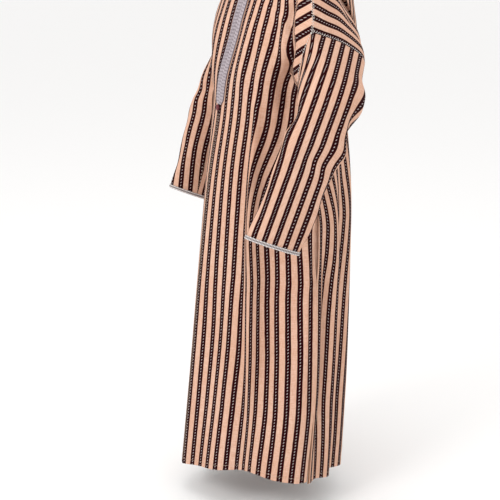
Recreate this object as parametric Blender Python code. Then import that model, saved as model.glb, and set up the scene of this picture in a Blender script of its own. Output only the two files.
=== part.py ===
# Striped djellaba robe, worn with no wearer: a T-cut body, dropped sleeves, neck placket and hood.
# The robe faces -Y, the wearer's left is +X, and the origin is where the shoulders hold it.
# Every panel is a cloth wall worked out from sections of the body and rings of the sleeve.

import math

import bpy
import numpy as np
from mathutils.bvhtree import BVHTree

# Driving sizes, in metres
WALL = 0.002                # cloth, with its turned edges
SEAM_GAP = 0.0003           # between two pieces at a seam
ARMHOLE_INSET = 0.0007      # the sleeves' own share of the gap at the armholes
UNDERARM_INSET = 0.0030     # and in the sharp corner under the arm
TRIM_LIFT = 0.0007          # from the cloth to the underside of what lies on it
BRAID_THICK = 0.0018
BRAID_INSET = 0.0006        # from the cloth's edge to the braid's
HEM_Z = -1.355
UNDERARM_Z = -0.37
FRONT_CLOTH = 0.342         # from the centre to the side, 12 stripes
FRONT_NECK_ROW = 8 / 12     # row where the front neck starts, of 1 at the shoulder seam
BACK_NECK_ROW = 10 / 12
HOOD_END_ROW = 9 / 12       # row of the front neck where the hood ends
PLACKET_TOP_WIDTH = 0.018
PLACKET_END_WIDTH = 0.006
CUFF_BRAID_WIDTH = 0.010
KNOT_RADIUS = 0.0065
KNOT_FLAT = 0.7
HEM_SLIT_TOP_Z = -1.15
HEM_SLIT_OPEN = 0.014
POCKET_Z = (-0.80, -0.55)
POCKET_OPEN = 0.016
HOOD_FALL = 0.31            # from the neck to the hanging point
HOOD_STAND = 0.030
HOOD_SPREAD = 0.62          # share of the half neck along which the hood hangs as a bag
HOOD_CENTRE_Y = -0.010
HOOD_CLEAR = 0.0150         # between the hood's inner layer and the back
HOOD_BAG = 0.012            # least depth of the bag between its two layers

# Grid counts
LOWER_ROWS = 22
UPPER_ROWS = 12
PANEL_COLUMNS = 13
SLEEVE_ROWS = 14
HOOD_COLUMNS = 14
HOOD_STEPS = 20

# Body loops: height, centre fore and aft, half width, half depth in front and behind, how far the front
# leans to the wearer's right for each metre of depth, how square the loop is (2 is an ellipse,
# 1 a diamond with its corners at the seams), and the share of the loop from the centre front
# to the left and to the right side seam
BODY = {
    "z":     (-1.355, -1.10, -0.82, -0.54, -0.37, -0.24, -0.12),
    "y":     (-0.030, -0.014, 0.000, 0.010, 0.012, 0.012, 0.012),
    "wide":  (0.212, 0.213, 0.212, 0.208, 0.202, 0.200, 0.195),
    "front": (0.224, 0.213, 0.200, 0.181, 0.161, 0.150, 0.140),
    "back":  (0.204, 0.200, 0.190, 0.178, 0.163, 0.155, 0.150),
    "skew":  (0.22, 0.20, 0.16, 0.09, 0.00, 0.00, 0.00),
    "power": (1.36, 1.42, 1.52, 1.68, 1.95, 2.00, 2.00),
    "left":  (0.312, 0.305, 0.290, 0.270, 0.262, 0.262, 0.262),
    "right": (0.285, 0.280, 0.272, 0.265, 0.262, 0.262, 0.262),
}

# Upper rows of the front, from the underarm (0) to the shoulder seam (1):
# the edge at the centre or neck, and the edge at the armhole
FRONT_IN = {
    "t": (0.0, 0.35, 8 / 12, 10 / 12, 1.0),
    "x": (0.000, 0.000, 0.000, 0.046, 0.080),
    "y": (-0.150, -0.138, -0.100, -0.068, 0.000),
    "z": (-0.370, -0.235, -0.095, -0.047, 0.000),
}
FRONT_OUT = {
    "t": (0.0, 0.25, 0.50, 0.75, 1.0),
    "x": (0.200, 0.225, 0.247, 0.262, 0.268),
    "y": (0.022, -0.036, -0.048, -0.044, -0.024),
    "z": (-0.370, -0.330, -0.282, -0.228, -0.176),
}
# How far the centre front leans to the wearer's left
FRONT_LEAN = {
    "t": (0.0, 0.25, 0.50, 8 / 12, 10 / 12, 1.0),
    "x": (0.006, 0.024, 0.040, 0.040, 0.010, 0.000),
}
BACK_IN = {
    "t": (0.0, 0.35, 0.65, 10 / 12, 11 / 12, 1.0),
    "x": (0.000, 0.000, 0.000, 0.000, 0.052, 0.080),
    "y": (0.174, 0.168, 0.138, 0.082, 0.062, 0.000),
    "z": (-0.370, -0.235, -0.100, -0.018, -0.006, 0.000),
}
BACK_OUT = {
    "t": (0.0, 0.25, 0.50, 0.75, 1.0),
    "x": (0.200, 0.204, 0.208, 0.242, 0.268),
    "y": (0.022, 0.090, 0.148, 0.080, -0.024),
    "z": (-0.370, -0.330, -0.264, -0.213, -0.176),
}
# The way the cloth leaves each armhole, for the same rows
FRONT_LEAVE = {
    "t": (0.0, 0.25, 0.50, 0.75, 1.0),
    "x": (0.15, 0.30, 0.30, 0.22, 0.15),
    "y": (1.00, 0.50, 0.12, -0.08, -0.18),
    "z": (0.00, -0.60, -0.92, -0.97, -1.00),
}
BACK_LEAVE = {
    "t": (0.0, 0.25, 0.50, 0.75, 1.0),
    "x": (0.15, 0.25, 0.45, 0.35, 0.15),
    "y": (-1.00, -0.60, -0.25, -0.15, -0.18),
    "z": (0.00, -0.55, -0.80, -0.93, -1.00),
}
HANDLE_IN = 0.10            # reach of a row's curve at the centre
HANDLE_OUT = 0.095          # and at the armhole
HANDLE_LEAN = (1.7, -0.9)   # for each metre of lean, how much further across and forward the
                            # side that the centre leans from swings out

# How much higher than HEM_Z the fronts' hem hangs, from the centre (0) to the side (1)
HEM_RISE = {
    "share": (0.0, 0.25, 0.50, 0.75, 1.0),
    "left":  (0.000, 0.017, 0.029, 0.021, 0.008),
    "right": (0.000, 0.006, 0.012, 0.010, 0.004),
}

# Sleeve rings below the armhole: share of the length, centre, half width fore and aft,
# how much further back the right one is, half depth side to side, how much lower its inner
# side is, and lean in degrees
SLEEVE = {
    "t":     (0.22, 0.42, 0.70, 1.0),
    "x":     (0.284, 0.293, 0.301, 0.302),
    "y":     (0.010, -0.020, -0.083, -0.140),
    "z":     (-0.345, -0.425, -0.540, -0.668),
    "right": (-0.018, -0.010, 0.005, 0.024),
    "fore":  (0.078, 0.078, 0.073, 0.0715),
    "side":  (0.052, 0.048, 0.039, 0.031),
    "drop":  (0.030, 0.020, 0.005, 0.000),
    "lean":  (4.0, 14.0, 21.0, 22.0),
}

# Folds of the body: place round it (0 centre front, 0.25 left side, 0.5 centre back) at the
# lower and the upper end, heights of the ends, half width, and height out of the cloth
BODY_FOLDS = (
    ("low", "high", "z_low", "z_high", "half_width", "out"),
    (0.085, 0.135, -1.36, -0.42, 0.030, 0.012),
    (0.125, 0.160, -1.36, -0.55, 0.026, -0.010),
    (0.165, 0.200, -0.62, -0.12, 0.020, -0.013),
    (0.030, 0.050, -1.36, -0.75, 0.026, -0.007),
    (0.190, 0.215, -1.36, -0.85, 0.024, 0.008),
    (0.225, 0.235, -0.86, -0.50, 0.020, 0.010),
    (0.290, 0.275, -1.36, -0.50, 0.024, -0.011),
    (0.325, 0.300, -1.36, -0.45, 0.026, 0.014),
    (0.365, 0.340, -1.36, -0.40, 0.024, -0.012),
    (0.410, 0.375, -1.36, -0.30, 0.030, 0.016),
    (0.455, 0.425, -1.36, -0.42, 0.026, -0.012),
    (0.500, 0.480, -1.36, -0.30, 0.030, 0.013),
    (0.545, 0.540, -1.36, -0.45, 0.026, -0.013),
    (0.590, 0.600, -1.36, -0.34, 0.030, 0.015),
    (0.635, 0.650, -1.36, -0.46, 0.026, -0.012),
    (0.680, 0.700, -1.36, -0.50, 0.028, 0.013),
    (0.725, 0.735, -1.36, -0.60, 0.024, -0.010),
    (0.775, 0.780, -1.36, -0.50, 0.026, 0.012),
    (0.815, 0.820, -0.80, -0.14, 0.022, -0.013),
    (0.850, 0.840, -1.36, -0.58, 0.028, 0.012),
    (0.895, 0.880, -1.36, -0.70, 0.026, -0.010),
    (0.940, 0.925, -1.36, -0.82, 0.026, 0.008),
)

# Folds of a sleeve: place round it (-1 and 1 under the arm, 0 along the top, negative in front)
# and share of its length at each end, half width in metres, height out of the cloth
SLEEVE_FOLDS = (
    ("a0", "t0", "a1", "t1", "half_width", "out"),
    (0.30, 0.10, 0.62, 0.34, 0.020, 0.014),
    (0.22, 0.26, 0.66, 0.46, 0.016, -0.010),
    (-0.30, 0.52, 0.45, 0.58, 0.015, -0.008),
    (0.05, 0.44, 0.60, 0.50, 0.014, 0.008),
    (-0.62, 0.30, -0.20, 0.62, 0.018, 0.007),
    (-0.70, 0.56, -0.35, 0.98, 0.018, -0.006),
    (0.40, 0.66, 0.52, 0.99, 0.018, 0.007),
    (-0.75, 0.12, -0.50, 0.40, 0.018, -0.009),
)

# The hood's line from the neck seam: first its stand, as how far out of the neck and what share
# of HOOD_STAND up, then the bag down the back and up to the face edge, as how far out, how much
# further where it hangs, what share of HOOD_FALL down there, how far up, and whether the point
# lies on the slimmer lower part
HOOD_RISE = ((0.002, 0.55), (0.014, 1.00), (0.032, 0.85))
HOOD_HANG = (
    ("out", "out_hung", "fall", "lift", "low"),
    (0.046, 0.046, 0.40, 0.010, False),
    (0.050, 0.060, 1.00, 0.008, True),
    (0.056, 0.066, 1.00, 0.012, True),
    (0.062, 0.068, 0.45, 0.022, False),
    (0.056, 0.050, -0.013, 0.030, False),
)
HOOD_SLIM = 0.5             # how much narrower the lower part is at the centre back
HOOD_LOW_FRONT = 0.35       # how much lower the hood stands at its front ends

# Colours: sRGB hex, roughness
CREAM = ("E6C4AC", 0.85)
BRAID = ("B9B4B8", 0.55)
MAROON = ("2D0A0C", 0.7)


# Small helpers for tables, curves and colours

def linear_colour(hex_value):
    """Linear colour of an sRGB hex value."""
    parts = [int(hex_value[i:i + 2], 16) / 255.0 for i in (0, 2, 4)]
    return [c / 12.92 if c <= 0.04045 else ((c + 0.055) / 1.055) ** 2.4 for c in parts] + [1.0]


def smooth(knots, values, at):
    """Read a table column at the places at, along a smooth curve through its values."""
    x = np.asarray(knots, float)
    y = np.asarray(values, float)
    at = np.clip(np.asarray(at, float), x[0], x[-1])
    step = np.diff(x)
    rise = np.diff(y) / step
    slope = np.concatenate(([rise[0]], (rise[:-1] * step[1:] + rise[1:] * step[:-1])
                            / (step[1:] + step[:-1]), [rise[-1]]))
    i = np.clip(np.searchsorted(x, at, side="right") - 1, 0, len(x) - 2)
    h = step[i]
    s = (at - x[i]) / h
    return ((2 * s**3 - 3 * s**2 + 1) * y[i] + (s**3 - 2 * s**2 + s) * h * slope[i]
            + (3 * s**2 - 2 * s**3) * y[i + 1] + (s**3 - s**2) * h * slope[i + 1])


def table_point(table, at):
    """The point that a table's x, y and z columns give at one place."""
    return np.array([float(smooth(table["t"], table[axis], at)) for axis in "xyz"])


def ease(x):
    """0 to 1 with level ends."""
    x = np.clip(x, 0.0, 1.0)
    return x * x * (3.0 - 2.0 * x)


def along(points, shares):
    """Points at the given shares of a polyline's length."""
    lengths = np.concatenate(([0.0], np.cumsum(np.linalg.norm(np.diff(points, axis=0), axis=1))))
    at = np.asarray(shares) * lengths[-1]
    return np.stack([np.interp(at, lengths, points[:, k]) for k in range(3)], axis=1)


# The body's surface

def body_loop(z):
    """The closed loop round the body at a height, from the centre front to the wearer's left,
    and the shares of it at the two side seams."""
    row = {key: float(smooth(BODY["z"], BODY[key], z)) for key in BODY if key != "z"}
    angle = np.linspace(-0.5 * math.pi, 1.5 * math.pi, 1441)
    c, s = np.cos(angle), np.sin(angle)
    across = row["wide"] * np.sign(c) * np.abs(c)**(2.0 / row["power"])
    depth = np.where(s < 0, row["front"], row["back"]) * np.sign(s) * np.abs(s)**(2.0 / row["power"])
    ring = np.stack([across + row["skew"] * depth, row["y"] + depth,
                     np.full(angle.shape, z)], axis=1)
    return ring, row["left"], row["right"]


def upper_row(inner, outer, leave, neck_row, t, shares, lean):
    """A row over the chest or the back, from the centre or neck to the armhole."""
    start = table_point(inner, t)
    if t <= neck_row:
        start[0] = 0.0
    start[0] += lean
    end = table_point(outer, t)
    away = table_point(leave, t)
    away /= np.linalg.norm(away)
    swing = max(-lean, 0.0)
    first = start + (HANDLE_IN + HANDLE_LEAN[0] * swing) * np.array([0.99, 0.0, -0.12 * t])
    first[1] += HANDLE_LEAN[1] * swing
    last = end - HANDLE_OUT * away
    s = np.linspace(0.0, 1.0, 121)[:, None]
    curve = ((1 - s)**3 * start + 3 * (1 - s)**2 * s * first + 3 * (1 - s) * s**2 * last + s**3 * end)
    return along(curve, shares)


def row_height(t):
    """Height on the lower loops that belongs to an upper row."""
    return UNDERARM_Z + 0.16 * t


def body_rows(lower, upper):
    """Row places: negative below the underarm, as a height, and 0 to 1 above it."""
    low = [("z", z) for z in np.linspace(HEM_Z, UNDERARM_Z, lower + 1)[:-1]]
    return low + [("t", t) for t in np.linspace(0.0, 1.0, upper + 1)]


def pull_back(kind, value):
    """How far a side edge stands back from the seam line at a slit."""
    if kind == "t":
        return 0.0
    if value < HEM_SLIT_TOP_Z:
        return 0.5 * HEM_SLIT_OPEN * (HEM_SLIT_TOP_Z - value) / (HEM_SLIT_TOP_Z - HEM_Z)
    if POCKET_Z[0] < value < POCKET_Z[1]:
        share = (value - POCKET_Z[0]) / (POCKET_Z[1] - POCKET_Z[0])
        return 0.5 * POCKET_OPEN * math.sin(math.pi * share)
    return 0.0


def body_quarter(side, face, kind, value, columns):
    """One row of a quarter of the body, from the centre to the side seam or armhole.
    side is 1 for the wearer's left and -1 for the right, face is "front" or "back".
    Gives the points, the shares across, and the place round the body for the folds."""
    shares = np.linspace(0.0, 1.0, columns + 1)
    shares = shares * (1.0 - pull_back(kind, value) / FRONT_CLOTH)
    quarter = 0.25 * shares if face == "front" else 0.5 - 0.25 * shares
    place = (quarter if side > 0 else 1.0 - quarter) % 1.0

    def on_loop(z):
        ring, left, right = body_loop(z)
        seam = left if side > 0 else right
        at = seam * shares if face == "front" else 0.5 - (0.5 - seam) * shares
        return along(ring, at if side > 0 else 1.0 - at)
    if kind == "z":
        row = on_loop(value)
        if face == "front":
            up = smooth(HEM_RISE["share"], HEM_RISE["left" if side > 0 else "right"], shares)
            row[:, 2] += up * ease((HEM_SLIT_TOP_Z - value) / (HEM_SLIT_TOP_Z - HEM_Z))
        return row, shares, place
    tables = ((FRONT_IN, FRONT_OUT, FRONT_LEAVE, FRONT_NECK_ROW) if face == "front"
              else (BACK_IN, BACK_OUT, BACK_LEAVE, BACK_NECK_ROW))
    lean = side * float(smooth(FRONT_LEAN["t"], FRONT_LEAN["x"], value)) if face == "front" else 0.0
    over = upper_row(*tables, value, shares, lean) * np.array([side, 1.0, 1.0])
    if value >= 0.5:
        return over, shares, place
    mix = ease(value / 0.5)
    return (1 - mix) * on_loop(row_height(value)) + mix * over, shares, place


def fold_lift(place, z, fade):
    """Height of the body's folds over the plain form."""
    lift = np.zeros(place.shape)
    for low, high, z_low, z_high, half_width, out in BODY_FOLDS[1:]:
        share = np.clip((z - z_low) / (z_high - z_low), 0.0, 1.0)
        centre = low + (high - low) * share
        apart = (place - centre + 0.5) % 1.0 - 0.5
        across = np.exp(-0.5 * (apart * 4.0 * FRONT_CLOTH / half_width)**2)
        ends = ease((z_high - z) / (0.35 * (z_high - z_low)))
        if z_low > HEM_Z:
            ends = ends * ease((z - z_low) / (0.35 * (z_high - z_low)))
        lift += out * across * ends * (z < z_high)
    return lift * fade


def body_grid(side, face, lower=LOWER_ROWS, upper=UPPER_ROWS, columns=PANEL_COLUMNS):
    """Points and fold heights of a quarter of the body, rows from the hem up."""
    points = []
    lifts = []
    for kind, value in body_rows(lower, upper):
        row, shares, place = body_quarter(side, face, kind, value, columns)
        fade = 1.0 if kind == "z" else 1.0 - ease(value / 0.75) * np.ones(shares.shape)
        if kind == "t":
            fade = fade * (1.0 - ease(value / 0.12) * ease((shares - 0.55) / 0.45))
        height = value if kind == "z" else UNDERARM_Z + 0.25 * value
        points.append(row)
        lifts.append(fold_lift(place, height, fade))
    return np.array(points), np.array(lifts)


# The sleeve's surface

def armhole(side, count):
    """The armhole's points, from the underarm over the front to the shoulder seam and back down."""
    front = [body_quarter(side, "front", "t", t, 1)[0][-1] for t in np.linspace(0.0, 1.0, count + 1)]
    back = [body_quarter(side, "back", "t", t, 1)[0][-1] for t in np.linspace(1.0, 0.0, count + 1)]
    return np.array(front + back[1:])


def sleeve_ring(side, k, count):
    """One ring of the sleeve, in the order of the armhole's points."""
    row = {key: SLEEVE[key][k] for key in SLEEVE}
    lean = math.radians(row["lean"])
    angle = np.linspace(math.pi, 3.0 * math.pi, 721)
    fore = np.array([0.0, math.cos(lean), -math.sin(lean)])
    back = row["right"] if side < 0 else 0.0
    centre = np.array([side * row["x"], row["y"] + back, row["z"]])
    ring = (centre + np.outer(np.cos(angle), [side * row["side"], 0.0, row["drop"]])
            + np.outer(row["fore"] * np.sin(angle), fore))
    return along(ring, np.linspace(0.0, 1.0, 2 * count + 1))


def sleeve_grid(side, rows=SLEEVE_ROWS, count=UPPER_ROWS):
    """Points and fold heights of a sleeve, rows from the armhole to the cuff."""
    hole = armhole(side, count)
    rings = np.array([hole] + [sleeve_ring(side, k, count) for k in range(len(SLEEVE["t"]))])
    knots = np.array((0.0,) + SLEEVE["t"])
    shares = np.linspace(0.0, 1.0, rows + 1)
    grid = np.empty((rows + 1, 2 * count + 1, 3))
    for j in range(2 * count + 1):
        for axis in range(3):
            grid[:, j, axis] = smooth(knots, rings[:, j, axis], shares)
    grid[:, -1] = grid[:, 0]
    place = np.linspace(-1.0, 1.0, 2 * count + 1)[None, :]
    t = shares[:, None]
    lift = np.zeros(grid.shape[:2])
    length = 0.50
    half_round = 0.19
    for a0, t0, a1, t1, half_width, out in SLEEVE_FOLDS[1:]:
        run = np.array([(a1 - a0) * half_round, (t1 - t0) * length])
        size = np.linalg.norm(run)
        off_a = (place - a0) * half_round
        off_t = (t - t0) * length
        share = (off_a * run[0] + off_t * run[1]) / size**2
        across = (off_a * run[1] - off_t * run[0]) / size
        ends = ease(share / 0.4) * ease((1.0 - share) / 0.4) * (share > 0) * (share < 1)
        lift += out * np.exp(-0.5 * (across / half_width)**2) * ends
    lift *= ease(t / 0.08) * ease((1.0 - place) / 0.2) * ease((1.0 + place) / 0.2)
    return grid, lift


# Walls from grids

def key_of(point):
    return tuple(int(v) for v in np.round(np.asarray(point) * 1e6 / 10.0))


def grid_faces(shape, flip):
    """Corner places of each cell of a grid."""
    faces = []
    for i in range(shape[0] - 1):
        for j in range(shape[1] - 1):
            quad = ((i, j), (i, j + 1), (i + 1, j + 1), (i + 1, j))
            faces.append(quad[::-1] if flip else quad)
    return faces


class Cloth:
    """All the sewn grids of the robe, which share their seam points and the way that they face."""

    def __init__(self):
        self.place = {}
        self.base = []
        self.lift = []
        self.grids = {}

    def add(self, name, points, lifts, flip):
        """Add a grid, joined to the others wherever their points meet."""
        index = np.empty(points.shape[:2], int)
        for i in range(points.shape[0]):
            for j in range(points.shape[1]):
                key = key_of(points[i, j])
                if key not in self.place:
                    self.place[key] = len(self.base)
                    self.base.append(points[i, j])
                    self.lift.append([])
                index[i, j] = self.place[key]
                self.lift[index[i, j]].append(lifts[i, j])
        faces = [tuple(index[c] for c in quad) for quad in grid_faces(points.shape, flip)]
        faces = [f for f in faces if len(set(f)) == 4]
        self.grids.setdefault(name, []).append((index, faces))

    def normals(self, points):
        """The way that each point faces, from the cells round it."""
        total = np.zeros(points.shape)
        for parts in self.grids.values():
            for _, faces in parts:
                quads = np.array(faces)
                cross = np.cross(points[quads[:, 2]] - points[quads[:, 0]],
                                 points[quads[:, 3]] - points[quads[:, 1]])
                for corner in range(4):
                    np.add.at(total, quads[:, corner], cross)
        return total / np.maximum(np.linalg.norm(total, axis=1), 1e-12)[:, None]

    def settle(self):
        """Raise the folds and find the final way that each point faces."""
        base = np.array(self.base)
        lift = np.array([min(values, key=abs) for values in self.lift])
        self.points = base + self.normals(base) * lift[:, None]
        self.out = self.normals(self.points)


def boundary_runs(faces):
    """The open edges of a set of faces, as pairs in the order of their faces."""
    edges = {}
    for face in faces:
        for a, b in zip(face, face[1:] + face[:1]):
            edges[(a, b)] = edges.get((a, b), 0) + 1
    return [edge for edge in edges if (edge[1], edge[0]) not in edges]


def wall_mesh(points, out, faces, thick, inset):
    """A closed wall: the faces, the same faces moved in by thick, and a rim between them."""
    used = sorted({v for face in faces for v in face})
    new = {v: i for i, v in enumerate(used)}
    faces = [tuple(new[v] for v in face) for face in faces]
    outer = points[used].copy()
    inset = inset[used]
    way = out[used]
    runs = boundary_runs(faces)
    middle = np.zeros(outer.shape)
    for face in faces:
        centre = outer[list(face)].mean(axis=0)
        for v in face:
            middle[v] += centre - outer[v]
    shift = {}
    for a, b in runs:
        line = outer[b] - outer[a]
        inward = np.cross(way[a] + way[b], line)
        inward /= max(np.linalg.norm(inward), 1e-12)
        for v in (a, b):
            shift.setdefault(v, []).append(inward)
    for v, ways in shift.items():
        mean = np.mean(ways, axis=0)
        outer[v] += inset[v] * mean / max(float(mean @ mean), 0.35)
    inner = outer - thick * way
    count = len(used)
    solid = list(faces) + [tuple(v + count for v in face[::-1]) for face in faces]
    solid += [(b, a, a + count, b + count) for a, b in runs]
    return np.vstack([outer, inner]), solid


def make_object(name, points, faces, colour):
    """A named object with its own material, its faces turned outwards."""
    mesh = bpy.data.meshes.new(name)
    mesh.from_pydata([tuple(p) for p in points], [], faces)
    mesh.validate()
    mesh.shade_smooth()
    material = bpy.data.materials.new(name)
    material.use_nodes = True
    shader = material.node_tree.nodes["Principled BSDF"]
    shader.inputs["Base Color"].default_value = linear_colour(colour[0])
    shader.inputs["Roughness"].default_value = colour[1]
    shader.inputs["Metallic"].default_value = 0.0
    mesh.materials.append(material)
    item = bpy.data.objects.new(name, mesh)
    bpy.context.scene.collection.objects.link(item)
    return item


def outward(faces, points, way, tested):
    """Turn a closed set of faces round if the tested one looks away from way."""
    a, b, c = (points[v] for v in faces[tested][:3])
    return faces if np.cross(b - a, c - a) @ way > 0 else [face[::-1] for face in faces]


def braid_strip(cloth, name, starts, ends, widths, closed, colour):
    """A braid that lies on a panel along its edge. starts are the panel's edge points, ends the
    next ones further in, and widths the braid's width at each."""
    rows = []
    for a, b, width in zip(starts, ends, widths):
        line = cloth.points[b] - cloth.points[a]
        length = np.linalg.norm(line)
        section = []
        for reach, height in ((BRAID_INSET, TRIM_LIFT), (BRAID_INSET, TRIM_LIFT + BRAID_THICK),
                              (width / 2, TRIM_LIFT + 1.2 * BRAID_THICK),
                              (width, TRIM_LIFT + BRAID_THICK), (width, TRIM_LIFT)):
            share = reach / length
            way = cloth.out[a] * (1 - share) + cloth.out[b] * share
            section.append(cloth.points[a] + line * share + way * height)
        rows.append(section)
    size = len(rows[0])
    points = np.array(rows).reshape(-1, 3)
    faces = []
    count = len(rows)
    for i in range(count if closed else count - 1):
        k = (i + 1) % count
        for j in range(size):
            m = (j + 1) % size
            faces.append((i * size + j, k * size + j, k * size + m, i * size + m))
    if not closed:
        faces.append(tuple(range(size)))
        faces.append(tuple(range((count - 1) * size, count * size))[::-1])
    # the second face of each stretch is its top
    return make_object(name, points, outward(faces, points, cloth.out[starts[0]], 1), colour)


def hood_line(neck, across, out):
    """One line of the hood from the neck seam up, over and down the back, then up to the face
    edge. across runs from 0 at the centre back to 1 at the front end, and out is the level way
    off the neck there."""
    hang = (1.0 - ease(across / HOOD_SPREAD))**1.3
    up = np.array([0.0, 0.0, 1.0])
    stand = HOOD_STAND * (1.0 - HOOD_LOW_FRONT * ease((across - 0.5) / 0.5))
    slim = np.array([1.0 - HOOD_SLIM * hang, 1.0, 1.0])
    knots = [neck] + [neck + out * away + up * stand * height for away, height in HOOD_RISE]
    for away, away_hung, fall, lift, low in HOOD_HANG[1:]:
        start = neck * slim if low else neck
        knots.append(start + out * (away + away_hung * hang) + up * (lift - fall * HOOD_FALL * hang))
    knots = np.array(knots)
    lengths = np.concatenate(([0.0], np.cumsum(np.linalg.norm(np.diff(knots, axis=0), axis=1))))
    at = np.linspace(0.0, lengths[-1], HOOD_STEPS + 1)
    return np.stack([smooth(lengths, knots[:, k], at) for k in range(3)], axis=1)


def clear_of(tree, points, start, end):
    """Move the points of a hood line out until they stand clear of the cloth below, by
    start after the neck and by end at the face edge."""
    count = len(points) - 1
    for k in range(1, count + 1):
        wanted = start * ease(k / 2.5) + (end - start) * ease((k / count - 0.5) / 0.2)
        for _ in range(8):
            spot, way, _, _ = tree.find_nearest(points[k])
            apart = float((points[k] - np.array(spot)) @ np.array(way))
            if apart >= wanted:
                break
            points[k] += np.array(way) * (wanted - apart) * np.array([0.0 if points[0][0] == 0.0
                                                                      else 1.0, 1.0, 1.0])
    return points


def hood_grid(cloth, side):
    """The points of half the hood, lines from the centre back to the front end."""
    word = "left" if side > 0 else "right"
    quarter = 0 if side > 0 else 1
    back = cloth.grids["back"][quarter][0][:, 0]
    front = cloth.grids["front_" + word][0][0][:, 0]
    first = LOWER_ROWS + round(BACK_NECK_ROW * UPPER_ROWS)
    last = LOWER_ROWS + round(HOOD_END_ROW * UPPER_ROWS)
    edge = cloth.points[list(back[first:]) + list(front[last:-1][::-1])]
    edge[0, 0] = 0.0
    shares = np.linspace(0.0, 1.0, HOOD_COLUMNS + 1)
    neck = along(edge, shares) + np.array([0.0, 0.0, SEAM_GAP + 0.0004])
    grid = []
    for share, point in zip(shares, neck):
        out = np.array([point[0], point[1] - HOOD_CENTRE_Y, 0.0])
        line = hood_line(point, share, out / np.linalg.norm(out))
        grid.append(clear_of(cloth.tree, line, HOOD_CLEAR, HOOD_CLEAR + HOOD_BAG * (1.0 - share)))
    return np.array(grid)


# Build the robe

for old in list(bpy.data.objects):
    bpy.data.objects.remove(old, do_unlink=True)

cloth = Cloth()
for side, word in ((1, "left"), (-1, "right")):
    front_points, front_lifts = body_grid(side, "front")
    back_points, back_lifts = body_grid(side, "back")
    cloth.add("front_" + word, front_points, front_lifts, side < 0)
    cloth.add("back", back_points, back_lifts, side > 0)
    sleeve_points, sleeve_lifts = sleeve_grid(side)
    cloth.add("sleeve_" + word, sleeve_points, sleeve_lifts, side > 0)
cloth.settle()

for name in ("front_left", "front_right", "back", "sleeve_left", "sleeve_right"):
    panel = [face for _, faces in cloth.grids[name] for face in faces]
    inset = np.full(len(cloth.points), SEAM_GAP / 2)
    if name.startswith("sleeve"):
        rim = cloth.grids[name][0][0][0]
        inset[rim] = ARMHOLE_INSET
        inset[rim[[0, 1, -2]]] = UNDERARM_INSET
    mesh_points, mesh_faces = wall_mesh(cloth.points, cloth.out, panel, WALL, inset)
    make_object(name, mesh_points, mesh_faces, CREAM)

for side, word in ((1, "left"), (-1, "right")):
    index = cloth.grids["front_" + word][0][0][LOWER_ROWS:]
    rows = len(index)
    wide = PLACKET_END_WIDTH + (PLACKET_TOP_WIDTH - PLACKET_END_WIDTH) * ease(np.arange(rows) / 3.0)
    braid_strip(cloth, "placket_" + word, index[:-1, 0], index[:-1, 1], wide, False, BRAID)
    index = cloth.grids["sleeve_" + word][0][0][:, :-1]
    wide = np.full(index.shape[1], CUFF_BRAID_WIDTH)
    braid_strip(cloth, "cuff_braid_" + word, index[-1], index[-2], wide, True, BRAID)

# the knot closes the slit just below the braids, flattened against the cloth
spot = cloth.grids["front_left"][0][0][LOWER_ROWS, 0]
sink = KNOT_RADIUS * KNOT_FLAT + 2.0 * TRIM_LIFT
middle = cloth.points[spot] + cloth.out[spot] * sink - np.array([0.0, 0.0, 1.35 * KNOT_RADIUS])
steps = 12
knot = [middle + KNOT_RADIUS * np.array([0.0, 0.0, 1.1])]
for ring in range(1, steps // 2):
    tilt = math.pi * ring / (steps // 2)
    for k in range(steps):
        turn = 2.0 * math.pi * k / steps
        knot.append(middle + KNOT_RADIUS * np.array([math.sin(tilt) * math.cos(turn),
                                                     KNOT_FLAT * math.sin(tilt) * math.sin(turn),
                                                     1.1 * math.cos(tilt)]))
knot.append(middle - KNOT_RADIUS * np.array([0.0, 0.0, 1.1]))
knot_faces = [(0, 1 + k, 1 + (k + 1) % steps) for k in range(steps)]
for ring in range(steps // 2 - 2):
    a = 1 + ring * steps
    knot_faces += [(a + k, a + steps + k, a + steps + (k + 1) % steps, a + (k + 1) % steps)
                   for k in range(steps)]
a = 1 + (steps // 2 - 2) * steps
knot_faces += [(a + k, len(knot) - 1, a + (k + 1) % steps) for k in range(steps)]
make_object("placket_knot", np.array(knot), knot_faces, MAROON)

covered = [face for parts in cloth.grids.values() for _, faces in parts for face in faces]
cloth.tree = BVHTree.FromPolygons([tuple(p) for p in cloth.points], covered)
hood = Cloth()
for side, word in ((1, "left"), (-1, "right")):
    points = hood_grid(cloth, side)
    hood.add("hood_" + word, points, np.zeros(points.shape[:2]), side < 0)
hood.settle()
for word in ("left", "right"):
    panel = hood.grids["hood_" + word][0][1]
    inset = np.full(len(hood.points), SEAM_GAP / 2)
    mesh_points, mesh_faces = wall_mesh(hood.points, hood.out, panel, WALL, inset)
    make_object("hood_" + word, mesh_points, mesh_faces, CREAM)
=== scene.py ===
# Striped djellaba robe, filled out as when worn: cloth, braids, knot and sewing over the solids.
# The robe faces -Y, its left is +X, and everything is in metres.

import math

import bmesh
import bpy
import numpy as np
from mathutils import Matrix, Vector
from mathutils.bvhtree import BVHTree


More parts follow.
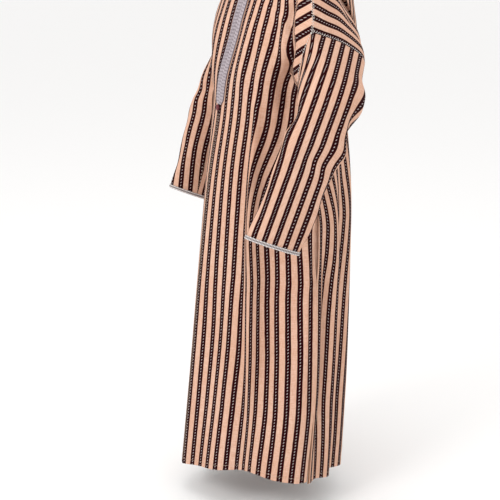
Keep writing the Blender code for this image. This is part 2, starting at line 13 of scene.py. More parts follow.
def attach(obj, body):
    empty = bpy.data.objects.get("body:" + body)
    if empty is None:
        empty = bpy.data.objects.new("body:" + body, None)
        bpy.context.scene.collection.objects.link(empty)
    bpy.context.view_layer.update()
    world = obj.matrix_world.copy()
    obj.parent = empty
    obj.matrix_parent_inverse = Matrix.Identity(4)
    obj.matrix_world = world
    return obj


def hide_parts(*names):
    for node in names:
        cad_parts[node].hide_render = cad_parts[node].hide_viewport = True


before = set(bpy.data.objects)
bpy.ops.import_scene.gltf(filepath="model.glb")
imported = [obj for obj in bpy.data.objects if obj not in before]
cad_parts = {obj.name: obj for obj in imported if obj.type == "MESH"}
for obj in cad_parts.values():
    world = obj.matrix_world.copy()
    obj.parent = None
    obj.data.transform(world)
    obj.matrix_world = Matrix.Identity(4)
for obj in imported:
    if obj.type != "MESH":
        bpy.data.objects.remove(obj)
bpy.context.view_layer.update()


# Camera
# The photograph is taken from the robe's left and a little in front, 3 m away and from shoulder
# height, looking down so that the hem shows and the top edge cuts off the shoulders.

CAMERA_ROUND = math.radians(66.0)
CAMERA_AWAY = 3.0
CAMERA_Z = 0.06
CAMERA_DOWN = math.radians(15.4)
CAMERA_TURN = math.radians(1.17)
CAMERA_LENS = 84.68
CAMERA_SENSOR = 36.0

toward = np.array([math.sin(CAMERA_ROUND), -math.cos(CAMERA_ROUND), 0.0])
level = np.array([math.cos(CAMERA_ROUND), math.sin(CAMERA_ROUND), 0.0])
ahead = -toward * math.cos(CAMERA_DOWN) - np.array([0.0, 0.0, math.sin(CAMERA_DOWN)])
across = level * math.cos(CAMERA_TURN) + ahead * math.sin(CAMERA_TURN)
ahead = ahead * math.cos(CAMERA_TURN) - level * math.sin(CAMERA_TURN)
upward = np.cross(across, ahead)


def new_object(name, data):
    """An object with its data, linked to the scene."""
    thing = bpy.data.objects.new(name, data)
    bpy.context.scene.collection.objects.link(thing)
    return thing


camera_data = bpy.data.cameras.new("camera")
camera_data.lens = CAMERA_LENS
camera_data.sensor_width = CAMERA_SENSOR
camera = new_object("camera", camera_data)
turned = Matrix([list(row) for row in np.stack([across, upward, -ahead], axis=1)]).to_4x4()
camera_place = toward * CAMERA_AWAY + np.array([0.0, 0.0, CAMERA_Z])
camera.matrix_world = Matrix.Translation(camera_place) @ turned
bpy.context.scene.camera = camera


# Striped cloth
# The cloth is a hand-woven cotton and wool, cream with a dark maroon stripe every 28.5 mm, and a
# white cord that shows in each dark stripe as a row of raised, slanted dashes. The pieces give
# their flat cut as a UV map in metres, u across the stripes and v along them.

STRIPE_PITCH = 0.0285
DARK_HALF = 0.0070          # half the width of a dark stripe
DASH_PITCH = 0.0084         # from one dash of the white cord to the next
DASH_SLANT = math.radians(28.0)
DASH_HALF_LONG = 0.0027
DASH_HALF_WIDE = 0.0011
YARN_ACROSS = 0.0016        # warp yarns, drawn coarser than their real 0.8 mm so that they show
YARN_ALONG = 0.0021         # weft yarns, drawn coarser as well


def linear(hex_value):
    """Linear colour of an sRGB hex value."""
    parts = [int(hex_value[i:i + 2], 16) / 255.0 for i in (0, 2, 4)]
    return [c / 12.92 if c <= 0.04045 else ((c + 0.055) / 1.055) ** 2.4 for c in parts] + [1.0]


def add_node(tree, kind, sockets=None, **settings):
    """Add a node with its settings, and for each socket a value or the node that feeds it."""
    node = tree.nodes.new(kind)
    for key, value in settings.items():
        setattr(node, key, value)
    for socket, value in (sockets or {}).items():
        if isinstance(value, bpy.types.Node):
            value = value.outputs[0]
        if isinstance(value, bpy.types.NodeSocket):
            tree.links.new(value, node.inputs[socket])
        else:
            node.inputs[socket].default_value = value
    return node


def new_material(name, roughness):
    """A material with its shader, and its node tree."""
    material = bpy.data.materials.new(name)
    material.use_nodes = True
    tree = material.node_tree
    shader = tree.nodes["Principled BSDF"]
    shader.inputs["Roughness"].default_value = roughness
    return material, tree, shader


def give_look(tree, shader, colour, height, strength, distance):
    """Join a material's colour and its relief to the shader."""
    tree.links.new(colour.outputs[2], shader.inputs["Base Color"])
    bump = add_node(tree, "ShaderNodeBump", {"Strength": strength, "Distance": distance,
                                             "Height": height})
    tree.links.new(bump.outputs[0], shader.inputs["Normal"])


def woven_stripe_cotton():
    """Hand-woven cotton and wool: matt, slightly fuzzy, with uneven yarns that show as fine
    light and dark streaks along the stripes."""
    material, tree, shader = new_material("woven_stripe_cotton", 0.82)
    shader.inputs["Specular IOR Level"].default_value = 0.06
    cut = add_node(tree, "ShaderNodeUVMap", uv_map="UVMap")
    flat = add_node(tree, "ShaderNodeSeparateXYZ", {0: cut})
    u, v = flat.outputs[0], flat.outputs[1]

    # four kinds of unevenness, each stretched its own way: edges that wander, yarns a little
    # thicker or lighter over 20 mm or so along the stripes and across them, and worn places
    uneven = []
    for stretch, detail in (((90.0, 45.0, 1.0), 3.0), ((620.0, 55.0, 1.0), 2.0),
                            ((60.0, 480.0, 1.0), 2.0), ((9.0, 4.0, 1.0), 3.0)):
        place = add_node(tree, "ShaderNodeVectorMath", {0: cut, 1: stretch}, operation="MULTIPLY")
        uneven.append(add_node(tree, "ShaderNodeTexNoise", {"Vector": place, "Scale": 1.0,
                                                            "Detail": detail}))
    wander, slub, pick, wash = uneven

    # the yarns aren't quite straight, so the stripes' edges wander by a third of a millimetre
    sway = add_node(tree, "ShaderNodeMath", {0: wander, 1: 0.5}, operation="SUBTRACT")
    moved = add_node(tree, "ShaderNodeMath", {0: sway, 1: 0.0014, 2: u}, operation="MULTIPLY_ADD")
    off = add_node(tree, "ShaderNodeMath", {0: moved, 1: STRIPE_PITCH / 2, 2: -STRIPE_PITCH / 2},
                   operation="WRAP")
    apart = add_node(tree, "ShaderNodeMath", {0: off}, operation="ABSOLUTE")
    dark = add_node(tree, "ShaderNodeMapRange", {0: apart, 1: DARK_HALF - 0.0003,
                                                 2: DARK_HALF + 0.0004, 3: 1.0, 4: 0.0},
                    interpolation_type="SMOOTHSTEP")

    # the dashes of the white cord: slanted ovals in a row down the middle of each dark stripe
    step = add_node(tree, "ShaderNodeMath", {0: v, 1: DASH_PITCH / 2, 2: -DASH_PITCH / 2},
                    operation="WRAP")
    spot = add_node(tree, "ShaderNodeCombineXYZ", {0: off, 1: step})
    spot = add_node(tree, "ShaderNodeVectorRotate", {"Vector": spot, "Angle": DASH_SLANT},
                    rotation_type="Z_AXIS")
    spot = add_node(tree, "ShaderNodeVectorMath", {0: spot, 1: (1.0 / DASH_HALF_WIDE,
                                                                1.0 / DASH_HALF_LONG, 0.0)},
                    operation="MULTIPLY")
    reach = add_node(tree, "ShaderNodeVectorMath", {0: spot}, operation="LENGTH")
    dash = add_node(tree, "ShaderNodeMapRange", {0: reach.outputs[1], 1: 0.72, 2: 1.12, 3: 1.0,
                                                 4: 0.0}, interpolation_type="SMOOTHSTEP")

    # colours: cream yarns, paler and browner by turns, dark maroon ones, and the greyish cord
    yarn = add_node(tree, "ShaderNodeMath", {0: slub, 1: pick}, operation="ADD")
    cream_tone = add_node(tree, "ShaderNodeMapRange", {0: yarn, 1: 0.70, 2: 1.30, 3: 0.0, 4: 1.0})
    cream = add_node(tree, "ShaderNodeMix", {0: cream_tone, 6: linear("CE9E84"),
                                             7: linear("E6C1AD")}, data_type="RGBA")
    washed = add_node(tree, "ShaderNodeMapRange", {0: wash, 1: 0.35, 2: 0.70, 3: 0.0, 4: 0.35})
    cream = add_node(tree, "ShaderNodeMix", {0: washed, 6: cream.outputs[2], 7: linear("C48D70")},
                     data_type="RGBA")
    dark_colour = add_node(tree, "ShaderNodeMix", {0: cream_tone, 6: linear("1E0102"),
                                                   7: linear("2F0507")}, data_type="RGBA")
    cord_colour = add_node(tree, "ShaderNodeMix", {0: pick, 6: linear("7F6C6C"),
                                                   7: linear("D9CFCC")}, data_type="RGBA")
    ground = add_node(tree, "ShaderNodeMix", {0: dark, 6: cream.outputs[2],
                                              7: dark_colour.outputs[2]}, data_type="RGBA")
    dash_on = add_node(tree, "ShaderNodeMath", {0: dash, 1: dark}, operation="MULTIPLY")
    colour = add_node(tree, "ShaderNodeMix", {0: dash_on, 6: ground.outputs[2],
                                              7: cord_colour.outputs[2]}, data_type="RGBA")

    # relief: the plain weave, and the cord standing on the dark stripe
    waves = []
    for place, yarn_pitch in ((u, YARN_ACROSS), (v, YARN_ALONG)):
        turns = add_node(tree, "ShaderNodeMath", {0: place, 1: 2 * math.pi / yarn_pitch},
                         operation="MULTIPLY")
        waves.append(add_node(tree, "ShaderNodeMath", {0: turns}, operation="SINE"))
    weave = add_node(tree, "ShaderNodeMath", {0: waves[0], 1: waves[1]}, operation="MULTIPLY")
    weave = add_node(tree, "ShaderNodeMath", {0: yarn, 1: 1.6, 2: weave}, operation="MULTIPLY_ADD")
    relief = add_node(tree, "ShaderNodeMath", {0: dash_on, 1: 4.0, 2: weave},
                      operation="MULTIPLY_ADD")
    give_look(tree, shader, colour, relief, 0.7, 0.00025)
    return material


stripe_cloth = woven_stripe_cotton()


# Body
# Two fronts and one back, each cut from the width of the loom with its stripes upright. They hang
# straight from the shoulders, widen to the hem and fall in soft folds.

HEM_Z = -1.355
UNDERARM_Z = -0.37
FRONT_NECK_T = 8 / 12       # row where the front neck starts, of 1 at the shoulder seam
BACK_NECK_T = 10 / 12
HALF_CLOTH = 0.342          # from the centre to the side above the hips: 12 stripes
HALF_CUT = 0.3535           # the same on the flat cut, with the half stripes at its two edges
SIDE_SEAM = {"front": 0.0095, "back": 0.0055}    # how much wider each is cut at the side seam
STRIPE_START = -0.0055      # the first dark stripe's middle is this far from the centre seam
HEM_SLIT_TOP_Z = -1.15
HEM_SLIT_OPEN = 0.014
POCKET_Z = (-0.80, -0.55)
POCKET_OPEN = 0.016
LOWER_ROWS = 112
UPPER_ROWS = 60
COLUMNS = 78

# Body loops: height, centre, half width, half depth in front and behind, how far the front leans
# to the robe's right, squareness (2 is an ellipse, 1 a diamond with its corners at the seams), and
# the share of the loop from the centre front to the left and to the right side seam
BODY = {
    "z":     (-1.355, -1.10, -0.82, -0.54, -0.37, -0.24, -0.12),
    "y":     (-0.030, -0.014, 0.000, 0.010, 0.012, 0.012, 0.012),
    "wide":  (0.212, 0.213, 0.212, 0.208, 0.202, 0.200, 0.195),
    "front": (0.224, 0.213, 0.200, 0.181, 0.161, 0.150, 0.140),
    "back":  (0.204, 0.200, 0.190, 0.178, 0.163, 0.155, 0.150),
    "skew":  (0.22, 0.20, 0.16, 0.09, 0.00, 0.00, 0.00),
    "power": (1.36, 1.42, 1.52, 1.68, 1.95, 2.00, 2.00),
    "left":  (0.312, 0.305, 0.290, 0.270, 0.262, 0.262, 0.262),
    "right": (0.285, 0.280, 0.272, 0.265, 0.262, 0.262, 0.262),
}
# Upper rows, from the underarm (0) to the shoulder seam (1): the edge at the centre or neck, the
# edge at the armhole, and the way that the cloth leaves the armhole
FRONT_IN = {
    "t": (0.0, 0.35, 8 / 12, 10 / 12, 1.0),
    "x": (0.000, 0.000, 0.000, 0.046, 0.080),
    "y": (-0.150, -0.138, -0.100, -0.068, 0.000),
    "z": (-0.370, -0.235, -0.095, -0.047, 0.000),
}
FRONT_OUT = {
    "t": (0.0, 0.25, 0.50, 0.75, 1.0),
    "x": (0.200, 0.225, 0.247, 0.262, 0.268),
    "y": (0.022, -0.036, -0.048, -0.044, -0.024),
    "z": (-0.370, -0.330, -0.282, -0.228, -0.176),
}
# How far the centre front leans to the robe's left
FRONT_LEAN = {
    "t": (0.0, 0.25, 0.50, 8 / 12, 10 / 12, 1.0),
    "x": (0.006, 0.024, 0.040, 0.040, 0.010, 0.000),
}
BACK_IN = {
    "t": (0.0, 0.35, 0.65, 10 / 12, 11 / 12, 1.0),
    "x": (0.000, 0.000, 0.000, 0.000, 0.052, 0.080),
    "y": (0.174, 0.168, 0.138, 0.082, 0.062, 0.000),
    "z": (-0.370, -0.235, -0.100, -0.018, -0.006, 0.000),
}
BACK_OUT = {
    "t": (0.0, 0.25, 0.50, 0.75, 1.0),
    "x": (0.200, 0.204, 0.208, 0.242, 0.268),
    "y": (0.022, 0.090, 0.148, 0.080, -0.024),
    "z": (-0.370, -0.330, -0.264, -0.213, -0.176),
}
FRONT_LEAVE = {
    "t": (0.0, 0.25, 0.50, 0.75, 1.0),
    "x": (0.15, 0.30, 0.30, 0.22, 0.15),
    "y": (1.00, 0.50, 0.12, -0.08, -0.18),
    "z": (0.00, -0.60, -0.92, -0.97, -1.00),
}
BACK_LEAVE = {
    "t": (0.0, 0.25, 0.50, 0.75, 1.0),
    "x": (0.15, 0.25, 0.45, 0.35, 0.15),
    "y": (-1.00, -0.60, -0.25, -0.15, -0.18),
    "z": (0.00, -0.55, -0.80, -0.93, -1.00),
}
REACH_IN = 0.10             # how far a row runs on straight at the centre
REACH_OUT = 0.095           # and at the armhole
REACH_LEAN = (1.7, -0.9)    # for each metre of lean, how much further across and forward the
                            # side that the centre leans from swings out
LOOP_POINTS = 1440          # of a loop before it is shared out
ROW_POINTS = 120            # and of an upper row
# How much higher than HEM_Z the fronts' hem hangs, from the centre (0) to the side (1)
HEM_RISE = {
    "share": (0.0, 0.25, 0.50, 0.75, 1.0),
    "left":  (0.000, 0.017, 0.029, 0.021, 0.008),
    "right": (0.000, 0.006, 0.012, 0.010, 0.004),
}

# Main folds, as in the solids: place round the body (0 centre front, 0.25 left side, 0.5 centre
# back) at the lower and the upper end, heights of the ends, half width, and height out
BODY_FOLDS = (
    ("low", "high", "z_low", "z_high", "half_width", "out"),
    (0.085, 0.135, -1.36, -0.42, 0.030, 0.012),
    (0.125, 0.160, -1.36, -0.55, 0.026, -0.010),
    (0.165, 0.200, -0.62, -0.12, 0.020, -0.013),
    (0.030, 0.050, -1.36, -0.75, 0.026, -0.007),
    (0.190, 0.215, -1.36, -0.85, 0.024, 0.008),
    (0.225, 0.235, -0.86, -0.50, 0.020, 0.010),
    (0.290, 0.275, -1.36, -0.50, 0.024, -0.011),
    (0.325, 0.300, -1.36, -0.45, 0.026, 0.014),
    (0.365, 0.340, -1.36, -0.40, 0.024, -0.012),
    (0.410, 0.375, -1.36, -0.30, 0.030, 0.016),
    (0.455, 0.425, -1.36, -0.42, 0.026, -0.012),
    (0.500, 0.480, -1.36, -0.30, 0.030, 0.013),
    (0.545, 0.540, -1.36, -0.45, 0.026, -0.013),
    (0.590, 0.600, -1.36, -0.34, 0.030, 0.015),
    (0.635, 0.650, -1.36, -0.46, 0.026, -0.012),
    (0.680, 0.700, -1.36, -0.50, 0.028, 0.013),
    (0.725, 0.735, -1.36, -0.60, 0.024, -0.010),
    (0.775, 0.780, -1.36, -0.50, 0.026, 0.012),
    (0.815, 0.820, -0.80, -0.14, 0.022, -0.013),
    (0.850, 0.840, -1.36, -0.58, 0.028, 0.012),
    (0.895, 0.880, -1.36, -0.70, 0.026, -0.010),
    (0.940, 0.925, -1.36, -0.82, 0.026, 0.008),
)
# Narrower folds, in the same columns, which only the cloth has
FINE_FOLDS = (
    ("low", "high", "z_low", "z_high", "half_width", "out"),
    (0.138, 0.120, -1.35, -0.16, 0.0105, 0.024),
    (0.112, 0.100, -1.33, -0.30, 0.012, -0.006),
    (0.162, 0.146, -1.33, -0.34, 0.014, -0.008),
    (0.205, 0.222, -1.30, -0.60, 0.012, -0.005),
    (0.236, 0.246, -1.20, -0.52, 0.008, -0.008),
    (0.262, 0.262, -1.34, -0.62, 0.012, 0.007),
    (0.276, 0.285, -1.34, -0.70, 0.009, -0.007),
    (0.345, 0.322, -1.34, -0.52, 0.012, 0.006),
    (0.432, 0.405, -1.34, -0.42, 0.012, -0.007),
    (0.522, 0.512, -1.34, -0.36, 0.012, 0.007),
    (0.612, 0.628, -1.34, -0.42, 0.012, -0.007),
    (0.700, 0.715, -1.34, -0.58, 0.012, 0.006),
    (0.752, 0.758, -1.30, -0.50, 0.010, -0.007),
    (0.872, 0.858, -1.34, -0.46, 0.010, -0.008),
    (0.915, 0.900, -1.30, -0.60, 0.012, 0.005),
)


def smooth(knots, values, at):
    """Read a table column at the places at, along a smooth curve through its values."""
    x = np.asarray(knots, float)
    y = np.asarray(values, float)
    at = np.clip(np.asarray(at, float), x[0], x[-1])
    step = np.diff(x)
    rise = np.diff(y) / step
    slope = np.concatenate(([rise[0]], (rise[:-1] * step[1:] + rise[1:] * step[:-1])
                            / (step[1:] + step[:-1]), [rise[-1]]))
    i = np.clip(np.searchsorted(x, at, side="right") - 1, 0, len(x) - 2)
    h = step[i]
    s = (at - x[i]) / h
    return ((2 * s**3 - 3 * s**2 + 1) * y[i] + (s**3 - 2 * s**2 + s) * h * slope[i]
            + (3 * s**2 - 2 * s**3) * y[i + 1] + (s**3 - s**2) * h * slope[i + 1])


def table_point(table, at):
    """The point that a table's x, y and z columns give at one place."""
    return np.array([float(smooth(table["t"], table[axis], at)) for axis in "xyz"])


def ease(x):
    """0 to 1 with level ends."""
    x = np.clip(x, 0.0, 1.0)
    return x * x * (3.0 - 2.0 * x)


def run_lengths(points):
    """Length along a line of points, from its start to each."""
    return np.concatenate(([0.0], np.cumsum(np.linalg.norm(np.diff(points, axis=0), axis=1))))


def along(points, shares):
    """Points at the given shares of a polyline's length."""
    lengths = run_lengths(points)
    at = np.asarray(shares) * lengths[-1]
    return np.stack([np.interp(at, lengths, points[:, k]) for k in range(3)], axis=1)


def body_loop(z):
    """The closed loop round the body at a height, from the centre front to the robe's left, and
    the shares of it at the two side seams."""
    row = {key: float(smooth(BODY["z"], BODY[key], z)) for key in BODY if key != "z"}
    angle = np.linspace(-0.5 * math.pi, 1.5 * math.pi, LOOP_POINTS + 1)
    c, s = np.cos(angle), np.sin(angle)
    wide = row["wide"] * np.sign(c) * np.abs(c)**(2.0 / row["power"])
    depth = np.where(s < 0, row["front"], row["back"])
    depth = depth * np.sign(s) * np.abs(s)**(2.0 / row["power"])
    ring = np.stack([wide + row["skew"] * depth, row["y"] + depth, np.full(angle.shape, z)], axis=1)
    return ring, row["left"], row["right"]


def upper_row(inner, outer, leave, neck_t, t, shares, lean):
    """A row over the chest or the back, from the centre or neck to the armhole."""
    start = table_point(inner, t)
    if t <= neck_t:
        start[0] = 0.0
    start[0] += lean
    end = table_point(outer, t)
    away = table_point(leave, t)
    away /= np.linalg.norm(away)
    swing = max(-lean, 0.0)
    level_way = np.array([0.99, 0.0, -0.12 * t])    # a little down towards the shoulder
    first = start + (REACH_IN + REACH_LEAN[0] * swing) * level_way
    first[1] += REACH_LEAN[1] * swing
    last = end - REACH_OUT * away
    s = np.linspace(0.0, 1.0, ROW_POINTS + 1)[:, None]
    curve = (1 - s)**3 * start + 3 * (1 - s)**2 * s * first + 3 * (1 - s) * s**2 * last + s**3 * end
    return along(curve, shares)


def pull_back(kind, value):
    """How far a side edge stands back from the seam line at a slit."""
    if kind == "t":
        return 0.0
    if value < HEM_SLIT_TOP_Z:
        return 0.5 * HEM_SLIT_OPEN * (HEM_SLIT_TOP_Z - value) / (HEM_SLIT_TOP_Z - HEM_Z)
    if POCKET_Z[0] < value < POCKET_Z[1]:
        share = (value - POCKET_Z[0]) / (POCKET_Z[1] - POCKET_Z[0])
        return 0.5 * POCKET_OPEN * math.sin(math.pi * share)
    return 0.0


def body_quarter(side, face, kind, value, columns):
    """One row of a quarter of the body, from the centre to the side seam or armhole: its points,
    the shares across, and the place round the body for the folds. side is 1 for the robe's left
    and -1 for its right, face is "front" or "back"."""
    shares = np.linspace(0.0, 1.0, columns + 1) * (1.0 - pull_back(kind, value) / HALF_CLOTH)
    quarter = 0.25 * shares if face == "front" else 0.5 - 0.25 * shares
    place = (quarter if side > 0 else 1.0 - quarter) % 1.0

    def on_loop(z):
        ring, left, right = body_loop(z)
        seam = left if side > 0 else right
        at = seam * shares if face == "front" else 0.5 - (0.5 - seam) * shares
        return along(ring, at if side > 0 else 1.0 - at)
    if kind == "z":
        row = on_loop(value)
        if face == "front":
            up = smooth(HEM_RISE["share"], HEM_RISE["left" if side > 0 else "right"], shares)
            row[:, 2] += up * ease((HEM_SLIT_TOP_Z - value) / (HEM_SLIT_TOP_Z - HEM_Z))
        return row, shares, place
    tables, lean = (BACK_IN, BACK_OUT, BACK_LEAVE, BACK_NECK_T), 0.0
    if face == "front":
        tables = (FRONT_IN, FRONT_OUT, FRONT_LEAVE, FRONT_NECK_T)
        lean = side * float(smooth(FRONT_LEAN["t"], FRONT_LEAN["x"], value))
    over = upper_row(*tables, value, shares, lean) * np.array([side, 1.0, 1.0])
    if value >= 0.5:
        return over, shares, place
    mix = ease(value / 0.5)
    return (1 - mix) * on_loop(UNDERARM_Z + 0.16 * value) + mix * over, shares, place


# Creases of the chest, on the rows above the underarm: share across and t at each end, half
# width, and height out; the first ones make the deep crease in front of the dropped shoulder
CHEST_CREASES = (
    ("a0", "t0", "a1", "t1", "half_width", "out"),
    (0.79, 0.16, 0.80, 0.72, 0.009, -0.020),
    (0.81, 0.46, 0.50, 1.00, 0.009, -0.016),
    (0.72, -0.10, 0.80, 0.52, 0.020, -0.022),
    (0.00, 0.22, 0.00, 0.84, 0.034, -0.011),
    (0.70, 0.30, 0.46, 0.76, 0.014, -0.008),
    (0.76, 0.34, 0.60, 0.80, 0.012, 0.006),
    (0.34, 0.10, 0.26, 0.60, 0.018, 0.004),
    (0.52, 0.02, 0.36, 0.52, 0.014, -0.005),
)
# and of the shoulder blades, on the same rows of the back
BLADE_CREASES = (
    ("a0", "t0", "a1", "t1", "half_width", "out"),
    (0.30, 1.10, 0.86, 0.72, 0.030, 0.011),
    (0.94, 0.30, 0.60, 0.78, 0.014, -0.008),
    (0.80, 0.10, 0.50, 0.50, 0.016, -0.006),
    (0.30, 0.05, 0.24, 0.62, 0.018, 0.005),
    (0.12, 0.10, 0.10, 0.70, 0.014, -0.005),
)
CHEST_WIDE = 0.28           # lengths that turn the creases' places into distances
CHEST_HIGH = 0.36
CREASE_ENDS = 0.4           # share of a crease's length over which each end runs out
FOLD_ENDS = 0.35            # and of a fold's


def crease_lift(creases, a, t, size_a, size_t):
    """Height of a table of creases over the plain form, on a grid's places a and t."""
    lift = np.zeros(np.broadcast(a, t).shape)
    for a0, t0, a1, t1, half_width, out in creases[1:]:
        run = np.array([(a1 - a0) * size_a, (t1 - t0) * size_t])
        size = np.linalg.norm(run)
        off_a = (a - a0) * size_a
        off_t = (t - t0) * size_t
        share = (off_a * run[0] + off_t * run[1]) / size**2
        aside = (off_a * run[1] - off_t * run[0]) / size
        ends = ease(share / CREASE_ENDS) * ease((1.0 - share) / CREASE_ENDS)
        ends *= (share > 0) * (share < 1)
        lift += out * np.exp(-0.5 * (aside / half_width)**2) * ends
    return lift


def fold_lift(folds, place, z):
    """Height of the body's folds over the plain form."""
    lift = np.zeros(place.shape)
    for low, high, z_low, z_high, half_width, out in folds[1:]:
        share = np.clip((z - z_low) / (z_high - z_low), 0.0, 1.0)
        centre = low + (high - low) * share
        apart = (place - centre + 0.5) % 1.0 - 0.5
        hump = np.exp(-0.5 * (apart * 4.0 * HALF_CLOTH / half_width)**2)
        run_out = FOLD_ENDS * (z_high - z_low)
        ends = ease((z_high - z) / run_out)
        if z_low > HEM_Z:
            ends = ends * ease((z - z_low) / run_out)
        lift += out * hump * ends * (z < z_high)
    return lift


# The fronts have one more stripe than the back below the chest, taken up in the long fold: where
# it comes in, as a share of the row and as a height, each with the length over which it does
EXTRA_STRIPE = (0.46, 0.14, -0.40, 0.28)
CUT_EASE = 0.30             # from here up to the underarm the cut turns to the cloth's own width
SHOULDER_TILT = math.radians(27.0)      # of the dropped shoulder's stripes, as the camera sees them
SHOULDER_STRETCH = 0.90     # of the same stripes' width
SHOULDER_ROWS = (0.30, 0.08)            # t where they start, and over how much
# Where the crease in front of the dropped shoulder lies, as a share of the row
CREASE = {
    "t": (0.30, 0.50, 0.60, 8 / 12, 0.75, 0.85, 1.0),
    "share": (0.78, 0.80, 0.79, 0.77, 0.70, 0.60, 0.45),
}
CREASE_TURN = 0.02          # share of the row over which the stripes turn


def flat_cut(side, face, rows, points, raised):
    """Where each point lies on the flat cut, in metres: u across the stripes from the centre,
    v along them from the underarm. The dropped shoulder hangs like a sleeve, so there the
    stripes run round it, and the crease in front of it takes up the turn."""
    lengths = np.array([run_lengths(row) for row in points])
    taken = np.array([run_lengths(row) for row in raised])
    u = np.empty(lengths.shape)
    for k, (kind, value) in enumerate(rows):
        full = lengths[k, -1]
        shares = lengths[k] / full
        if kind == "z":
            above = ease((value - UNDERARM_Z + CUT_EASE) / CUT_EASE)
            wide = HALF_CUT + SIDE_SEAM[face]
            wide += (full - wide) * above
            line = taken[k] * wide / taken[k, -1]
            u[k] = line + (shares * wide - line) * above
            if face == "front":
                share, over, z, down = EXTRA_STRIPE
                u[k] += STRIPE_PITCH * ease((shares - share) / over) * ease((z - value) / down)
        elif face == "front":
            neck = ease((value - FRONT_NECK_T) / (1.0 - FRONT_NECK_T))
            u[k] = lengths[k] + (HALF_CUT - full) * neck
        else:
            wide = full + (HALF_CUT - full) * ease(value / 0.6)
            neck = ease((value - BACK_NECK_T) / (1.0 - BACK_NECK_T))
            u[k] = lengths[k] + (wide - full) * (shares * (1.0 - neck) + neck)
    if face == "front":
        mirror = np.array([side, 1.0, 1.0])
        round_arm = (across * math.sin(SHOULDER_TILT) - upward * math.cos(SHOULDER_TILT)) * mirror
        below = (points - table_point(FRONT_OUT, 1.0) * mirror) @ round_arm
        turned = HALF_CUT + SHOULDER_STRETCH * below
        crease = np.array([0.0 if kind == "z" else smooth(CREASE["t"], CREASE["share"], value)
                           for kind, value in rows])[:, None]
        low, over = SHOULDER_ROWS
        shown = np.array([0.0 if kind == "z" else ease((value - low) / over)
                          for kind, value in rows])[:, None]
        shares = lengths / lengths[:, -1:]
        u += (turned - u) * shown * ease((shares - crease) / CREASE_TURN)
    climb = np.zeros(lengths.shape)
    climb[1:] = np.cumsum(np.linalg.norm(np.diff(points, axis=0), axis=2), axis=0)
    v = climb - climb[LOWER_ROWS]
    return np.stack([side * (u + STRIPE_START), v], axis=2)


SIDES = ((1, "left"), (-1, "right"))
panels = {}                 # name: a list of grids, each with its points, folds, cut and facing
body_rows = ([("z", z) for z in np.linspace(HEM_Z, UNDERARM_Z, LOWER_ROWS + 1)[:-1]]
             + [("t", t) for t in np.linspace(0.0, 1.0, UPPER_ROWS + 1)])


def body_panel(side, face):
    """A quarter of the body, rows from the hem up."""
    points = []
    lifts = []
    for kind, value in body_rows:
        row, shares, place = body_quarter(side, face, kind, value, COLUMNS)
        fade = np.ones(shares.shape)
        if kind == "t":     # the folds run out up the chest, and sooner at the armhole
            fade *= 1.0 - ease(value / 0.75)
            fade *= 1.0 - ease(value / 0.12) * ease((shares - 0.55) / 0.45)
        height = value if kind == "z" else UNDERARM_Z + 0.25 * value
        lift = fold_lift(BODY_FOLDS, place, height) * fade
        lift += fold_lift(FINE_FOLDS, place, height) * fade
        if kind == "t":
            creases = CHEST_CREASES if face == "front" else BLADE_CREASES
            lift += crease_lift(creases, shares, value, CHEST_WIDE, CHEST_HIGH)
        points.append(row)
        lifts.append(lift)
    points = np.array(points)
    lifts = np.array(lifts)
    way = np.cross(np.gradient(points, axis=1), np.gradient(points, axis=0))
    outward = side if face == "front" else -side
    way *= outward / np.maximum(np.linalg.norm(way, axis=2), 1e-9)[..., None]
    cut = flat_cut(side, face, body_rows, points, points + way * lifts[..., None])
    return {"points": points, "lifts": lifts, "cut": cut, "flip": (side < 0) == (face == "front")}


for side, word in SIDES:
    panels.setdefault("front_" + word, []).append(body_panel(side, "front"))
    panels.setdefault("back", []).append(body_panel(side, "back"))


# Sleeves
# Each is one width of cloth folded lengthwise along its stripes, set into the dropped armhole and
# sewn along the underside. It narrows to the cuff and creases at the elbow.

SLEEVE_ROWS = 112
# Rings below the armhole: share of the length, centre, half width fore and aft, how much further
# back the right one is, half depth side to side, how much lower its inner side is, and lean
SLEEVE = {
    "t":     (0.22, 0.42, 0.70, 1.0),
    "x":     (0.284, 0.293, 0.301, 0.302),
    "y":     (0.010, -0.020, -0.083, -0.140),
    "z":     (-0.345, -0.425, -0.540, -0.668),
    "right": (-0.018, -0.010, 0.005, 0.024),
    "fore":  (0.078, 0.078, 0.073, 0.0715),
    "side":  (0.052, 0.048, 0.039, 0.031),
    "drop":  (0.030, 0.020, 0.005, 0.000),
    "lean":  (4.0, 14.0, 21.0, 22.0),
}
# Folds: place round the sleeve (-1 and 1 under the arm, 0 along the top, negative in front) and
# share of its length at each end, half width, and height out
SLEEVE_FOLDS = (
    ("a0", "t0", "a1", "t1", "half_width", "out"),
    (0.30, 0.10, 0.62, 0.34, 0.020, 0.014),
    (0.22, 0.26, 0.66, 0.46, 0.016, -0.010),
    (-0.30, 0.52, 0.45, 0.58, 0.015, -0.008),
    (0.05, 0.44, 0.60, 0.50, 0.014, 0.008),
    (-0.62, 0.30, -0.20, 0.62, 0.018, 0.007),
    (-0.70, 0.56, -0.35, 0.98, 0.018, -0.006),
    (0.40, 0.66, 0.52, 0.99, 0.018, 0.007),
    (-0.75, 0.12, -0.50, 0.40, 0.018, -0.009),
)
SLEEVE_LONG = 0.50          # lengths that turn the folds' places into distances
SLEEVE_HALF_ROUND = 0.19
